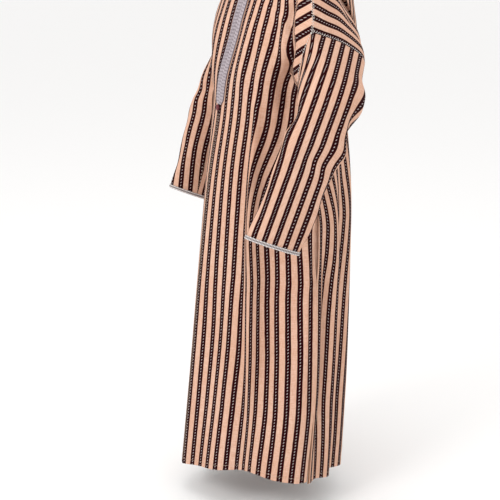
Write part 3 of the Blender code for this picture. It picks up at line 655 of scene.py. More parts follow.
# The stripes run straight down the outside of the sleeve, through this point and along this way
GRAIN_POINT = (0.34, -0.050, -0.480)
GRAIN_WAY = (0.034, -0.218, -0.510)
GRAIN_FLAT = 0.92           # the outside of the sleeve hangs nearly flat, so that it shows this
                            # share of its width from beside it
GRAIN_LEAST = 0.55          # the least share of its own width that the cut gives a step of cloth
OUTSIDE_HALF = 0.62         # how far round the sleeve, to each side of its top, the outside goes
UPPER_SLEEVE = (0.22, 0.12)     # share of the length down to which the left sleeve's outside is
                                # flat all over, and over how much that ends


def armhole(side, count):
    """The armhole's points, from the underarm up the front to the shoulder seam and back down."""
    t_values = np.linspace(0.0, 1.0, count + 1)
    front = [body_quarter(side, "front", "t", t, 1)[0][-1] for t in t_values]
    back = [body_quarter(side, "back", "t", t, 1)[0][-1] for t in np.linspace(1.0, 0.0, count + 1)]
    return np.array(front + back[1:])


def sleeve_ring(side, k, count):
    """One ring of the sleeve, in the order of the armhole's points."""
    row = {key: SLEEVE[key][k] for key in SLEEVE}
    lean = math.radians(row["lean"])
    angle = np.linspace(math.pi, 3.0 * math.pi, LOOP_POINTS // 2 + 1)
    fore = np.array([0.0, math.cos(lean), -math.sin(lean)])
    back = row["right"] if side < 0 else 0.0
    centre = np.array([side * row["x"], row["y"] + back, row["z"]])
    ring = (centre + np.outer(np.cos(angle), [side * row["side"], 0.0, row["drop"]])
            + np.outer(row["fore"] * np.sin(angle), fore))
    return along(ring, np.linspace(0.0, 1.0, 2 * count + 1))


def sleeve_panel(side):
    """A sleeve, rows from the armhole to the cuff."""
    rings = np.array([armhole(side, UPPER_ROWS)]
                     + [sleeve_ring(side, k, UPPER_ROWS) for k in range(len(SLEEVE["t"]))])
    knots = np.array((0.0,) + SLEEVE["t"])
    shares = np.linspace(0.0, 1.0, SLEEVE_ROWS + 1)
    grid = np.empty((SLEEVE_ROWS + 1, 2 * UPPER_ROWS + 1, 3))
    for j in range(grid.shape[1]):
        for axis in range(3):
            grid[:, j, axis] = smooth(knots, rings[:, j, axis], shares)
    grid[:, -1] = grid[:, 0]
    place = np.linspace(-1.0, 1.0, 2 * UPPER_ROWS + 1)[None, :]
    t = shares[:, None]
    lift = crease_lift(SLEEVE_FOLDS, place, t, SLEEVE_HALF_ROUND, SLEEVE_LONG)
    lift *= ease(t / 0.08) * ease((1.0 - place) / 0.2) * ease((1.0 + place) / 0.2)
    lengths = np.array([run_lengths(row) for row in grid])
    mirror = np.array([side, 1.0, 1.0])
    across_grain = np.cross(GRAIN_WAY, toward) * mirror
    off_grain = (grid - np.array(GRAIN_POINT) * mirror) @ across_grain
    start = np.zeros(len(grid))     # where each row crosses the grain line on the outside
    for i, row in enumerate(off_grain):
        turns = np.nonzero(row[:-1] * row[1:] < 0)[0]
        j = max(turns, key=lambda k: side * grid[i, k, 0])
        start[i] = j + row[j] / (row[j] - row[j + 1])
    steps = np.diff(lengths, axis=1)
    flat_steps = np.abs(np.diff(off_grain, axis=1)) / np.linalg.norm(across_grain)
    flatness = flat_steps / np.maximum(steps, 1e-9)
    outside = (np.abs(np.linspace(-1.0, 1.0, steps.shape[1])) < OUTSIDE_HALF)[None, :]
    upper = np.zeros(t.shape)
    if side > 0:
        upper = 1.0 - ease((t - UPPER_SLEEVE[0]) / UPPER_SLEEVE[1])
    flat_share = np.maximum(ease((flatness - 0.40) / 0.25), upper) * outside
    hung = np.maximum(flat_steps / GRAIN_FLAT, GRAIN_LEAST * steps)
    steps = steps * (1.0 - flat_share) + hung * flat_share
    lengths = np.concatenate([np.zeros((len(grid), 1)), np.cumsum(steps, axis=1)], axis=1)
    start = np.array([np.interp(place_at, np.arange(lengths.shape[1]), row)
                      for place_at, row in zip(start, lengths)])
    u = lengths - start[:, None]
    climb = np.zeros(lengths.shape)
    climb[1:] = np.cumsum(np.linalg.norm(np.diff(grid, axis=0), axis=2), axis=0)
    cut = np.stack([side * u, -climb], axis=2)
    return {"points": grid, "lifts": lift, "cut": cut, "flip": side > 0}


for side, word in SIDES:
    panels["sleeve_" + word] = [sleeve_panel(side)]


# Sewing the grids together
# The panels share their seam points, so that folds run on over a seam and no seam gapes by more
# than its own 0.3 mm. Each panel is then a thin closed shell with its outside on the solid's form.

SEAM_GAP = 0.0003
CLOTH_THICK = 0.0016
SHARP_EDGE = math.radians(55.0)


def grid_cells(index, flip):
    """The cells of a grid of point numbers, as rows of four corners."""
    cells = np.stack([index[:-1, :-1], index[:-1, 1:], index[1:, 1:], index[1:, :-1]], axis=2)
    cells = cells.reshape(-1, 4)
    return cells[:, ::-1] if flip else cells


def facing(points, cells):
    """The way that each point faces, from the cells round it."""
    cross = np.cross(points[cells[:, 2]] - points[cells[:, 0]],
                     points[cells[:, 3]] - points[cells[:, 1]])
    total = np.zeros(points.shape)
    for corner in range(4):
        np.add.at(total, cells[:, corner], cross)
    return total / np.maximum(np.linalg.norm(total, axis=1), 1e-12)[:, None]


def sew(grids):
    """Number the grids' points so that shared ones are the same, raise the folds, and give all
    the points, the way that each faces, and the cells."""
    points = np.concatenate([grid["points"].reshape(-1, 3) for grid in grids])
    lifts = np.concatenate([grid["lifts"].ravel() for grid in grids])
    _, first, number = np.unique(np.round(points * 1e5).astype(np.int64), axis=0,
                                 return_index=True, return_inverse=True)
    number = number.ravel()
    base = points[first]
    order = np.argsort(-np.abs(lifts))
    lift = np.zeros(len(base))
    lift[number[order]] = lifts[order]
    start = 0
    cells = []
    for grid in grids:
        size = grid["lifts"].size
        grid["index"] = number[start:start + size].reshape(grid["lifts"].shape)
        start += size
        cells.append(grid_cells(grid["index"], grid["flip"]))
    cells = np.concatenate(cells)
    raised = base + facing(base, cells) * lift[:, None]
    return raised, facing(raised, cells), cells


def shell(name, grids, points, out, thick, material):
    """A thin closed shell of one or more grids that share points, with its cut as UV map."""
    cells = np.concatenate([grid_cells(grid["index"], grid["flip"]) for grid in grids])
    corners = np.concatenate([grid_cells(np.arange(grid["index"].size).reshape(grid["index"].shape),
                                         grid["flip"]) + sum(g["index"].size for g in grids[:k])
                              for k, grid in enumerate(grids)])
    cuts = np.concatenate([grid["cut"].reshape(-1, 2) for grid in grids])[corners]
    real = np.array([len(set(cell)) == 4 for cell in cells.tolist()])
    cells, cuts = cells[real], cuts[real]
    used, new = np.unique(cells, return_inverse=True)
    new = new.reshape(cells.shape)
    count = len(used)
    edges = {}
    for cell, cut in zip(new.tolist(), cuts.tolist()):
        for k in range(4):
            edges[(cell[k], cell[(k + 1) % 4])] = (cut[k], cut[(k + 1) % 4])
    rim = [(edge, cut) for edge, cut in edges.items() if (edge[1], edge[0]) not in edges]
    outer = points[used].copy()
    way = out[used]
    shift = {}
    for (a, b), _ in rim:
        inward = np.cross(way[a] + way[b], outer[b] - outer[a])
        inward /= max(np.linalg.norm(inward), 1e-12)
        for v in (a, b):
            shift.setdefault(v, []).append(inward)
    for v, ways in shift.items():
        mean = np.mean(ways, axis=0)
        outer[v] += 0.5 * SEAM_GAP * mean / max(float(mean @ mean), 0.35)
    inner = outer - thick * way
    faces = new.tolist() + (new[:, ::-1] + count).tolist()
    faces += [[b, a, a + count, b + count] for (a, b), _ in rim]
    uv = cuts.reshape(-1, 2).tolist() + cuts[:, ::-1].reshape(-1, 2).tolist()
    for _, (cut_a, cut_b) in rim:
        uv += [cut_b, cut_a, cut_a, cut_b]
    mesh = bpy.data.meshes.new(name)
    mesh.from_pydata(np.vstack([outer, inner]).tolist(), [], faces)
    mesh.uv_layers.new(name="UVMap").data.foreach_set("uv", np.array(uv).ravel())
    mesh.materials.append(material)
    mesh.shade_smooth()
    mesh.set_sharp_from_angle(angle=SHARP_EDGE)
    return new_object(name, mesh)


def fix(piece, node=None):
    """Fix a piece to the robe, in the place of a solid if it has one."""
    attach(piece, "root")
    if node:
        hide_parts(node)


cloth_points, cloth_out, cloth_cells = sew([grid for grids in panels.values() for grid in grids])
# Each panel's grids as one thin shell of the striped cloth, in the place of its solid
for name, grids in panels.items():
    piece = shell("cloth_" + name, grids, cloth_points, cloth_out, CLOTH_THICK, stripe_cloth)
    fix(piece, name)
# The point numbers of each quarter of the body and of each sleeve, for what is sewn on them
sewn = {}
for k, (side, word) in enumerate(SIDES):
    sewn["front", word] = panels["front_" + word][0]["index"]
    sewn["back", word] = panels["back"][k]["index"]
    sewn["sleeve", word] = panels["sleeve_" + word][0]["index"]


# Neck braids and knot
# Down each side of the neck slit lies a flat band of silver-grey silk cords, sewn to the front.
# The two meet at its lower end, where a little knot of maroon cord closes the slit.

TRIM_LIFT = 0.0007          # from the cloth to the underside of what lies on it
BRAID_THICK = 0.0016
CORD_FACES = 6              # across one cord
BRAID_INSET = 0.0006        # from the cloth's edge to the braid's
BRAID_CORD = 0.0030         # width of one cord
BRAID_HUMP = 0.0009         # and how far its middle stands up
PLACKET_TOP_WIDTH = 0.0232
PLACKET_END_WIDTH = 0.015
PLACKET_END_ROWS = 5.0      # rows of points over which the lower end narrows
SILK_TWIST = 0.0042         # length of one twist, coarser than its real 2 mm so that it shows


def silk_braid(name, light, dark, seam):
    """Twisted silk or rayon cords side by side: smooth threads with a painted highlight in slanted
    bands, each cord twisted against the next, and a dark line of painted shade where two touch."""
    material, tree, shader = new_material(name, 0.42)
    shader.inputs["Specular IOR Level"].default_value = 0.55
    cut = add_node(tree, "ShaderNodeUVMap", uv_map="UVMap")
    flat = add_node(tree, "ShaderNodeSeparateXYZ", {0: cut})
    u, v = flat.outputs[0], flat.outputs[1]
    cord = add_node(tree, "ShaderNodeMath", {0: u, 1: BRAID_CORD}, operation="DIVIDE")
    number = add_node(tree, "ShaderNodeMath", {0: cord}, operation="FLOOR")
    over = add_node(tree, "ShaderNodeMath", {0: cord}, operation="FRACT")
    odd = add_node(tree, "ShaderNodeMath", {0: number, 1: 1.0}, operation="PINGPONG")
    turned = add_node(tree, "ShaderNodeMath", {0: odd, 1: -2.0, 2: 1.0}, operation="MULTIPLY_ADD")
    slant = add_node(tree, "ShaderNodeMath", {0: turned, 1: over}, operation="MULTIPLY")
    twist = add_node(tree, "ShaderNodeMath", {0: v, 1: 1.0 / SILK_TWIST, 2: slant},
                     operation="MULTIPLY_ADD")
    thread = add_node(tree, "ShaderNodeMath", {0: twist, 1: 1.0}, operation="PINGPONG")
    place = add_node(tree, "ShaderNodeVectorMath", {0: cut, 1: (420.0, 160.0, 1.0)},
                     operation="MULTIPLY")
    fuzz = add_node(tree, "ShaderNodeTexNoise", {"Vector": place, "Scale": 1.0, "Detail": 3.0})
    # painted highlight on each twist, every second cord darker, and painted shade as a dark
    # line between cords
    tone = add_node(tree, "ShaderNodeMath", {0: thread, 1: 0.7}, operation="MULTIPLY")
    tone = add_node(tree, "ShaderNodeMath", {0: fuzz, 1: 0.5, 2: tone}, operation="MULTIPLY_ADD")
    tone = add_node(tree, "ShaderNodeMath", {0: odd, 1: -0.55, 2: tone}, operation="MULTIPLY_ADD",
                    use_clamp=True)
    threads = add_node(tree, "ShaderNodeMix", {0: tone, 6: linear(dark), 7: linear(light)},
                       data_type="RGBA")
    middle = add_node(tree, "ShaderNodeMath", {0: over, 1: 0.5}, operation="SUBTRACT")
    middle = add_node(tree, "ShaderNodeMath", {0: middle}, operation="ABSOLUTE")
    # painted shade: the gap between two cords darkened to the seam colour, also a groove in the
    # relief
    gap_groove_and_shade = add_node(tree, "ShaderNodeMapRange", {0: middle, 1: 0.36, 2: 0.49, 3: 0.0, 4: 0.75},
                      interpolation_type="SMOOTHSTEP")
    colour = add_node(tree, "ShaderNodeMix", {0: gap_groove_and_shade, 6: threads.outputs[2], 7: linear(seam)},
                      data_type="RGBA")
    rise = add_node(tree, "ShaderNodeMath", {0: gap_groove_and_shade, 1: -1.5, 2: thread},
                    operation="MULTIPLY_ADD")
    give_look(tree, shader, colour, rise, 0.6, 0.0004)
    return material


def at_reach(index, reach):
    """The point of the sewn cloth at each reach along a row of point numbers, and its facing."""
    at = np.interp(reach, run_lengths(cloth_points[index]), np.arange(len(index)))
    low = np.minimum(at.astype(int), len(index) - 2)
    share = (at - low)[:, None]
    point = cloth_points[index[low]] * (1 - share) + cloth_points[index[low + 1]] * share
    way = cloth_out[index[low]] * (1 - share) + cloth_out[index[low + 1]] * share
    return point, way / np.linalg.norm(way, axis=1)[:, None]


def strip(name, points, ways, cut, flip, thick, material, closed=False):
    """A closed shell from rows of points of its own across it, with the way that each faces."""
    number = np.arange(points.shape[0] * points.shape[1]).reshape(points.shape[:2])
    if closed:
        number[-1] = number[0]
    grid = {"index": number, "cut": cut, "flip": flip}
    return shell(name, [grid], points.reshape(-1, 3), np.array(ways).reshape(-1, 3), thick,
                 material)


def corded_band(name, index, flip, widths, closed, material):
    """A braid of round cords that lies on a panel along the first column of its points."""
    cords = round(max(widths) / BRAID_CORD)
    shares = np.linspace(0.0, 1.0, CORD_FACES * cords + 1)
    hump = BRAID_HUMP * np.sin(math.pi * ((shares * cords) % 1.0))
    points, ways = [], []
    for row, width in zip(index, widths):
        point, way = at_reach(row, BRAID_INSET + (width - BRAID_INSET) * shares)
        points.append(point + way * (TRIM_LIFT + BRAID_THICK + hump)[:, None])
        ways.append(way)
    points = np.array(points)
    cut = np.stack([np.broadcast_to(shares * cords * BRAID_CORD, points.shape[:2]),
                    np.broadcast_to(run_lengths(points[:, 0])[:, None], points.shape[:2])], axis=2)
    return strip(name, points, ways, cut, flip, BRAID_THICK, material, closed)


# colours: painted highlight of the twists, their painted shade with the darker cords, and painted
# shade between cords
placket_silk = silk_braid("silver_silk_cords", "E6DADF", "62555C", "3A2D34")
for side, word in SIDES:
    index = sewn["front", word][LOWER_ROWS:]
    grown = ease(np.arange(len(index)) / PLACKET_END_ROWS)
    widths = PLACKET_END_WIDTH + (PLACKET_TOP_WIDTH - PLACKET_END_WIDTH) * grown
    braid = corded_band("braid_placket_" + word, index, side < 0, widths, False, placket_silk)
    fix(braid, "placket_" + word)


CORD_RIBS = 260.0           # ribs 2.4 mm apart, coarser than their real 1 mm so that they show


def silk_cord():
    """Twisted maroon silk cord: dark and a little glossy, its threads in fine slanted ribs."""
    material, tree, shader = new_material("maroon_silk_cord", 0.45)
    place = add_node(tree, "ShaderNodeTexCoord").outputs["Object"]
    ribs = add_node(tree, "ShaderNodeTexWave", {"Vector": place, "Scale": CORD_RIBS,
                                                "Distortion": 2.0, "Detail": 1.0},
                    bands_direction="DIAGONAL")
    colour = add_node(tree, "ShaderNodeMix", {0: ribs.outputs[1], 6: linear("38070D"),
                                              7: linear("7A1C28")}, data_type="RGBA")
    give_look(tree, shader, colour, ribs.outputs[1], 0.5, 0.0003)
    return material


KNOT_RADIUS = 0.0065
KNOT_FLAT = 0.7             # its depth, as a share of its width
KNOT_LOOP = 0.0050          # radius of one loop of the knot's cord
KNOT_CORD = 0.0023          # and of the cord
KNOT_TILT = math.radians(62.0)          # of each loop off the cloth
LOOP_STEPS = 20
CORD_STEPS = 8
CORE_RADIUS = 0.72 * KNOT_RADIUS
CORE_ROUND = 14
CORE_HIGH = 9


def round_points(count, start=0.0):
    """Points evenly round a circle of radius 1, in its plane."""
    angles = [start + 2.0 * math.pi * k / count for k in range(count)]
    return [Vector((math.cos(angle), math.sin(angle), 0.0)) for angle in angles]


def join_rings(made, rings):
    """Faces between each ring of vertices and the next."""
    for ring, after in zip(rings, rings[1:]):
        for j in range(len(ring)):
            k = (j + 1) % len(ring)
            made.faces.new((ring[j], after[j], after[k], ring[k]))


spot = sewn["front", "left"][LOWER_ROWS, 0]
knot_place = (cloth_points[spot] + cloth_out[spot] * (KNOT_RADIUS * KNOT_FLAT + 2.0 * TRIM_LIFT)
              - np.array([0.0, 0.0, 1.35 * KNOT_RADIUS]))
knot_middle = Vector(knot_place.tolist())
made = bmesh.new()
# four loops of cord round one another, turned 45 degrees apart, over a small core
for turn in range(4):
    turned = (Matrix.Rotation(math.radians(45.0 * turn), 3, "Y")
              @ Matrix.Rotation(KNOT_TILT, 3, "X"))
    rings = []
    for spoke in round_points(LOOP_STEPS):
        ring = []
        for part in round_points(CORD_STEPS):
            off = (spoke * part.x + Vector((0.0, 0.0, 1.0)) * part.y) * KNOT_CORD
            point = turned @ (spoke * KNOT_LOOP + off)
            ring.append(made.verts.new(knot_middle + Vector((point.x, point.y * KNOT_FLAT,
                                                             point.z * 1.1))))
        rings.append(ring)
    join_rings(made, rings + rings[:1])
rings = []
for k in range(1, CORE_HIGH):
    lean = math.pi * k / CORE_HIGH
    rings.append([made.verts.new(knot_middle + CORE_RADIUS * Vector((
        math.sin(lean) * spoke.x, math.sin(lean) * spoke.y * KNOT_FLAT, math.cos(lean))))
        for spoke in round_points(CORE_ROUND, 0.5 * math.pi)])
join_rings(made, rings)
for ring, height in ((rings[0], CORE_RADIUS), (rings[-1], -CORE_RADIUS)):
    pole = made.verts.new(knot_middle + Vector((0.0, 0.0, height)))
    for j in range(CORE_ROUND):
        made.faces.new((pole, ring[j], ring[(j + 1) % CORE_ROUND]))
bmesh.ops.recalc_face_normals(made, faces=made.faces)
knot_mesh = bpy.data.meshes.new("knot_of_cord")
made.to_mesh(knot_mesh)
made.free()
knot_mesh.shade_smooth()
knot_mesh.materials.append(silk_cord())
fix(new_object("knot_of_cord", knot_mesh), "placket_knot")


# Cuff braids
# Each sleeve ends in three silk cords sewn side by side round its edge, the middle one darker.
# They are laid flat on the cloth and joined end to end under the sleeve.

CUFF_BRAID_WIDTH = 0.0098

# colours: painted highlight of the twists, their painted shade with the darker cord, and painted
# shade between cords
cuff_silk = silk_braid("grey_silk_cords", "EDE8E6", "7D7170", "2C2122")
for side, word in SIDES:
    index = sewn["sleeve", word][::-1].T
    braid = corded_band("braid_cuff_" + word, index, side > 0,
                        np.full(len(index), CUFF_BRAID_WIDTH), True, cuff_silk)
    fix(braid, "cuff_braid_" + word)


# Seam stitching
# The shoulder and armhole seams are sewn by hand with a thick whitish thread that shows as a row
# of short slanted stitches, laid by Geometry Nodes along the seams.

def stitch_nodes():
    """Geometry Nodes that lay rounded stitches along paths: point spacing, the size of a stitch,
    how far it is turned off the path, and how uneven the row is."""
    tree = bpy.data.node_groups.new("stitches_along_seam", "GeometryNodeTree")
    tree.interface.new_socket("Geometry", in_out="INPUT", socket_type="NodeSocketGeometry")
    for label in ("Spacing", "Length", "Width", "Height", "Turn", "Uneven"):
        tree.interface.new_socket(label, in_out="INPUT", socket_type="NodeSocketFloat")
    tree.interface.new_socket("Seed", in_out="INPUT", socket_type="NodeSocketInt")
    tree.interface.new_socket("Thread", in_out="INPUT", socket_type="NodeSocketMaterial")
    tree.interface.new_socket("Geometry", in_out="OUTPUT", socket_type="NodeSocketGeometry")
    given = add_node(tree, "NodeGroupInput").outputs
    curve = add_node(tree, "GeometryNodeMeshToCurve", {0: given["Geometry"]})
    spaced = add_node(tree, "GeometryNodeResampleCurve",
                      {"Curve": curve, "Length": given["Spacing"]}, mode="LENGTH")
    tangent = add_node(tree, "GeometryNodeInputTangent")
    out = add_node(tree, "GeometryNodeInputNamedAttribute", {"Name": "out"},
                   data_type="FLOAT_VECTOR")
    run = add_node(tree, "FunctionNodeAlignRotationToVector", {"Vector": tangent}, axis="X")
    stand = add_node(tree, "FunctionNodeAlignRotationToVector", {"Rotation": run, "Vector": out},
                     axis="Z", pivot_axis="X")
    chance = add_node(tree, "FunctionNodeRandomValue", {2: -1.0, 3: 1.0, "Seed": given["Seed"]},
                      data_type="FLOAT")
    sway = add_node(tree, "ShaderNodeMath", {0: chance.outputs[1], 1: given["Uneven"]},
                    operation="MULTIPLY")
    lean = add_node(tree, "ShaderNodeMath", {0: given["Turn"], 1: sway}, operation="ADD")
    turn = add_node(tree, "FunctionNodeAxisAngleToRotation", {"Axis": (0.0, 0.0, 1.0),
                                                              "Angle": lean})
    turned = add_node(tree, "FunctionNodeRotateRotation", {"Rotation": stand, "Rotate By": turn},
                      rotation_space="LOCAL")
    size = add_node(tree, "ShaderNodeCombineXYZ", {0: given["Length"], 1: given["Width"],
                                                   2: given["Height"]})
    grow = add_node(tree, "ShaderNodeMath", {0: sway, 1: 1.0}, operation="ADD")
    size = add_node(tree, "ShaderNodeVectorMath", {0: size, "Scale": grow}, operation="SCALE")
    bead = add_node(tree, "GeometryNodeMeshUVSphere", {"Segments": 6, "Rings": 4, "Radius": 0.5})
    laid = add_node(tree, "GeometryNodeInstanceOnPoints", {"Points": spaced, "Instance": bead,
                                                           "Rotation": turned, "Scale": size})
    real = add_node(tree, "GeometryNodeRealizeInstances", {0: laid})
    dyed = add_node(tree, "GeometryNodeSetMaterial", {0: real, "Material": given["Thread"]})
    smoothed = add_node(tree, "GeometryNodeSetShadeSmooth", {0: dyed})
    add_node(tree, "NodeGroupOutput", {0: smoothed})
    return tree


stitches = stitch_nodes()


def sewn_row(name, paths, thread, sizes):
    """A piece of stitches along paths, each a row of points and the way that the cloth faces."""
    points = np.concatenate([point for point, _ in paths])
    ways = np.concatenate([way for _, way in paths])
    edges = []
    start = 0
    for point, _ in paths:
        edges += [(start + k, start + k + 1) for k in range(len(point) - 1)]
        start += len(point)
    guide_mesh = bpy.data.meshes.new(name)
    guide_mesh.from_pydata(points.tolist(), edges, [])
    out = guide_mesh.attributes.new("out", "FLOAT_VECTOR", "POINT")
    out.data.foreach_set("vector", ways.ravel())
    guide = new_object(name + "_guide", guide_mesh)
    modifier = guide.modifiers.new("stitches", "NODES")
    modifier.node_group = stitches
    sockets = {item.name: item.identifier for item in stitches.interface.items_tree
               if item.in_out == "INPUT"}
    for label, value in sizes.items():
        modifier[sockets[label]] = value
    modifier[sockets["Thread"]] = thread
    graph = bpy.context.evaluated_depsgraph_get()
    mesh = bpy.data.meshes.new_from_object(guide.evaluated_get(graph), depsgraph=graph)
    guide.modifiers.remove(modifier)
    bpy.data.objects.remove(guide)
    fix(new_object(name, mesh))


STITCH_LIFT = 0.0004        # of a stitch's middle over the cloth


def beside(index, reach):
    """A path along the first column of a grid's point numbers, in from it by reach."""
    found = [at_reach(row, np.array([reach])) for row in index]
    point = np.array([p[0] for p, _ in found])
    way = np.array([w[0] for _, w in found])
    return point + way * STITCH_LIFT, way


def cotton_thread(name, light, dark):
    """Thick cotton sewing thread: matt, its plies lighter and darker along each stitch."""
    material, tree, shader = new_material(name, 0.8)
    place = add_node(tree, "ShaderNodeTexCoord").outputs["Object"]
    plies = add_node(tree, "ShaderNodeTexNoise", {"Vector": place, "Scale": 900.0, "Detail": 2.0})
    colour = add_node(tree, "ShaderNodeMix", {0: plies, 6: linear(dark), 7: linear(light)},
                      data_type="RGBA")
    give_look(tree, shader, colour, plies, 0.4, 0.0002)
    return material


seam_thread = cotton_thread("whitish_cotton_thread", "F0EBE6", "B9AEA6")
seam_sizes = {"Spacing": 0.0064, "Length": 0.0050, "Width": 0.0019, "Height": 0.0013,
              "Turn": math.radians(24.0), "Uneven": 0.18, "Seed": 4}
SHOULDER_EDGE = (0.0022, 0.0030)        # from the shoulder seam, in front and behind
ARMHOLE_EDGE = 0.0026
for side, word in SIDES:
    front, back = sewn["front", word], sewn["back", word]
    rows = [beside(grid[::-1].T, edge) for grid, edge in zip((front, back), SHOULDER_EDGE)]
    rows += [beside(grid[LOWER_ROWS + 2:, ::-1], ARMHOLE_EDGE) for grid in (front, back)]
    sewn_row("stitches_shoulder_" + word, rows, seam_thread, seam_sizes)


# Slit facings
# A narrow tape of cotton, brown as painted shade of the robe's inside seen through the slits, is
# turned in along the edges of the slits at the hem, and behind each pocket slit in the side seam a
# deeper facing of the robe's own cloth closes the view.

def painted_shade_tape():
    """Plain cotton tape, its brown a painted shade of the robe's inside seen through the slits:
    matt, its close weave only a faint even grain, worn lighter in places.
    """
    material, tree, shader = new_material("painted_shade_cotton_tape", 0.85)
    place = add_node(tree, "ShaderNodeTexCoord").outputs["Object"]
    grain = add_node(tree, "ShaderNodeTexNoise", {"Vector": place, "Scale": 700.0, "Detail": 3.0})
    wear = add_node(tree, "ShaderNodeTexNoise", {"Vector": place, "Scale": 22.0, "Detail": 2.0})
    tone = add_node(tree, "ShaderNodeMath", {0: grain, 1: 0.6, 2: wear}, operation="MULTIPLY_ADD")
    shade = add_node(tree, "ShaderNodeMapRange", {0: tone, 1: 0.55, 2: 1.05, 3: 0.0, 4: 1.0})
    # browns from dark to light: painted shade of the robe's inside seen through the slits
    colour = add_node(tree, "ShaderNodeMix", {0: shade, 6: linear("6E4A36"), 7: linear("AD8466")},
                      data_type="RGBA")
    give_look(tree, shader, colour, grain, 0.4, 0.0002)
    return material


FACING_THICK = 0.0012
FACING_CUT = (0.0142, 0.2)  # the facings show a cream part of the cloth: where on the cut they
                            # start, and how much of it they use for each metre across
TAPE_IN = 0.010             # of the tape's width behind the cloth
TAPE_OUT = 0.0050           # and beside it, in the slit
TAPE_BEHIND = (0.0030, 0.0024, 0.0022)      # how far behind the cloth, from the slit inwards
POCKET_IN = (0.010, 0.014)  # of the pocket facing's width behind the front and the back
POCKET_BEHIND = 0.0026      # how far it lies behind the cloth
POCKET_SAG = 0.006          # and how much further in its middle


def facing_strip(name, rows, ways, flip, material):
    """A narrow strip of cloth from rows of points across it."""
    rows = np.array(rows)
    across_it = np.array([run_lengths(row) for row in rows])
    along_it = np.broadcast_to(run_lengths(rows[:, 0])[:, None], across_it.shape)
    cut = np.stack([FACING_CUT[0] + FACING_CUT[1] * across_it, along_it], axis=2)
    fix(strip(name, rows, ways, cut, flip, FACING_THICK, material))


# the slit tape, brown as painted shade of the robe's inside
shade_tape_cloth = painted_shade_tape()
z_values = [value for kind, value in body_rows if kind == "z"]
slit_rows = int(np.searchsorted(z_values, HEM_SLIT_TOP_Z))
pocket_rows = np.searchsorted(z_values, POCKET_Z)
for side, word in SIDES:
    edges = {face: sewn[face, word][:, ::-1] for face in ("front", "back")}
    for face, index in edges.items():
        rows, ways = [], []
        for row in index[:slit_rows + 1]:
            point, way = at_reach(row, np.array([0.0, TAPE_IN]))
            beyond = (point[0] - point[1]) / TAPE_IN * TAPE_OUT
            places = (point[0] + beyond, point[0], point[1])
            ways.append([way[0], way[0], way[1]])
            rows.append([place - out * behind
                         for place, out, behind in zip(places, ways[-1], TAPE_BEHIND)])
        flip = (side > 0) == (face == "front")
        facing_strip("slit_shade_tape_" + face + "_" + word, rows, ways, flip, shade_tape_cloth)
    rows, ways = [], []
    for k in range(pocket_rows[0] - 2, pocket_rows[1] + 3):
        near, near_way = at_reach(edges["front"][k], np.array([POCKET_IN[0]]))
        far, far_way = at_reach(edges["back"][k], np.array([POCKET_IN[1]]))
        share = np.linspace(0.0, 1.0, 9)[:, None]
        way = near_way * (1 - share) + far_way * share
        way /= np.linalg.norm(way, axis=1)[:, None]
        behind = POCKET_BEHIND + POCKET_SAG * np.sin(math.pi * share)
        rows.append(near * (1 - share) + far * share - way * behind)
        ways.append(way)
    facing_strip("pocket_facing_" + word, rows, ways, side < 0, stripe_cloth)


# Plain seams
# The centre front, the underside of the sleeves, the hem and the side seams with their slits have
# a row of small straight stitches in a cream thread, a little in from the edge.

plain_thread = cotton_thread("cream_cotton_thread", "E9D2BD", "B08E73")
plain_sizes = {"Spacing": 0.0052, "Length": 0.0036, "Width": 0.0011, "Height": 0.0008,
               "Turn": 0.0, "Uneven": 0.10, "Seed": 9}
SLIT_HEM = 0.009            # from the edge to the stitches, at the slits and at the hem
LOWER_HEM = 0.014
SEAM_EDGE = 0.0035          # and at the side seams and under the sleeves
CENTRE_EDGE = 0.0030
for side, word in SIDES:
    rows = []
    for grid in (sewn["front", word], sewn["back", word]):
        rows.append(beside(grid[:slit_rows, ::-1], SLIT_HEM))
        rows.append(beside(grid.T[:-2], LOWER_HEM))
        rows.append(beside(grid[slit_rows + 2:LOWER_ROWS, ::-1], SEAM_EDGE))
    rows.append(beside(sewn["front", word][2:LOWER_ROWS - 2], CENTRE_EDGE))
    rows.append(beside(sewn["sleeve", word][3:-3], SEAM_EDGE))
    sewn_row("stitches_seams_" + word, rows, plain_thread, plain_sizes)


# Hood
# Two halves of the striped cloth joined down the middle and sewn into the neck seam. It stands a
# little round the neck and hangs down the back as an open bag with a turned face edge.

HOOD_END_T = 9 / 12         # row of the front neck where the hood ends
HOOD_FALL = 0.31            # from the neck to the hanging point
HOOD_STAND = 0.030          # how far it stands up round the neck
HOOD_SPREAD = 0.62          # share of the half neck along which the hood hangs as a bag
HOOD_CENTRE_Y = -0.010      # the lines lead outward from here
HOOD_OFF_NECK = 0.0004      # room over the neck edge beside the seam's own
HOOD_CLEAR = 0.0070         # between the hood's inner layer and the back
HOOD_BAG = 0.012            # least depth of the bag between its two layers
HOOD_COLUMNS = 42
HOOD_STEPS = 96
# The hood's line from the neck seam: first its stand, as how far out of the neck and what share
# of HOOD_STAND up, then the bag down the back and up to the face edge, as how far out, how much
# further where it hangs, what share of HOOD_FALL down there, how far up, and whether the point
# lies on the slimmer lower part
HOOD_RISE = ((0.002, 0.55), (0.014, 1.00), (0.032, 0.85))
HOOD_HANG = (
    ("out", "out_hung", "fall", "lift", "low"),
    (0.046, 0.046, 0.40, 0.010, False),
    (0.050, 0.060, 1.00, 0.008, True),
    (0.056, 0.066, 1.00, 0.012, True),
    (0.062, 0.068, 0.45, 0.022, False),
    (0.056, 0.050, -0.013, 0.030, False),
)
HOOD_SLIM = 0.5             # how much narrower the lower part is at the centre back
HOOD_LOW_FRONT = 0.35       # how much lower the hood stands at its front ends
HOOD_WIDE = 0.20            # lengths that turn the creases' places into distances
HOOD_LONG = 0.55
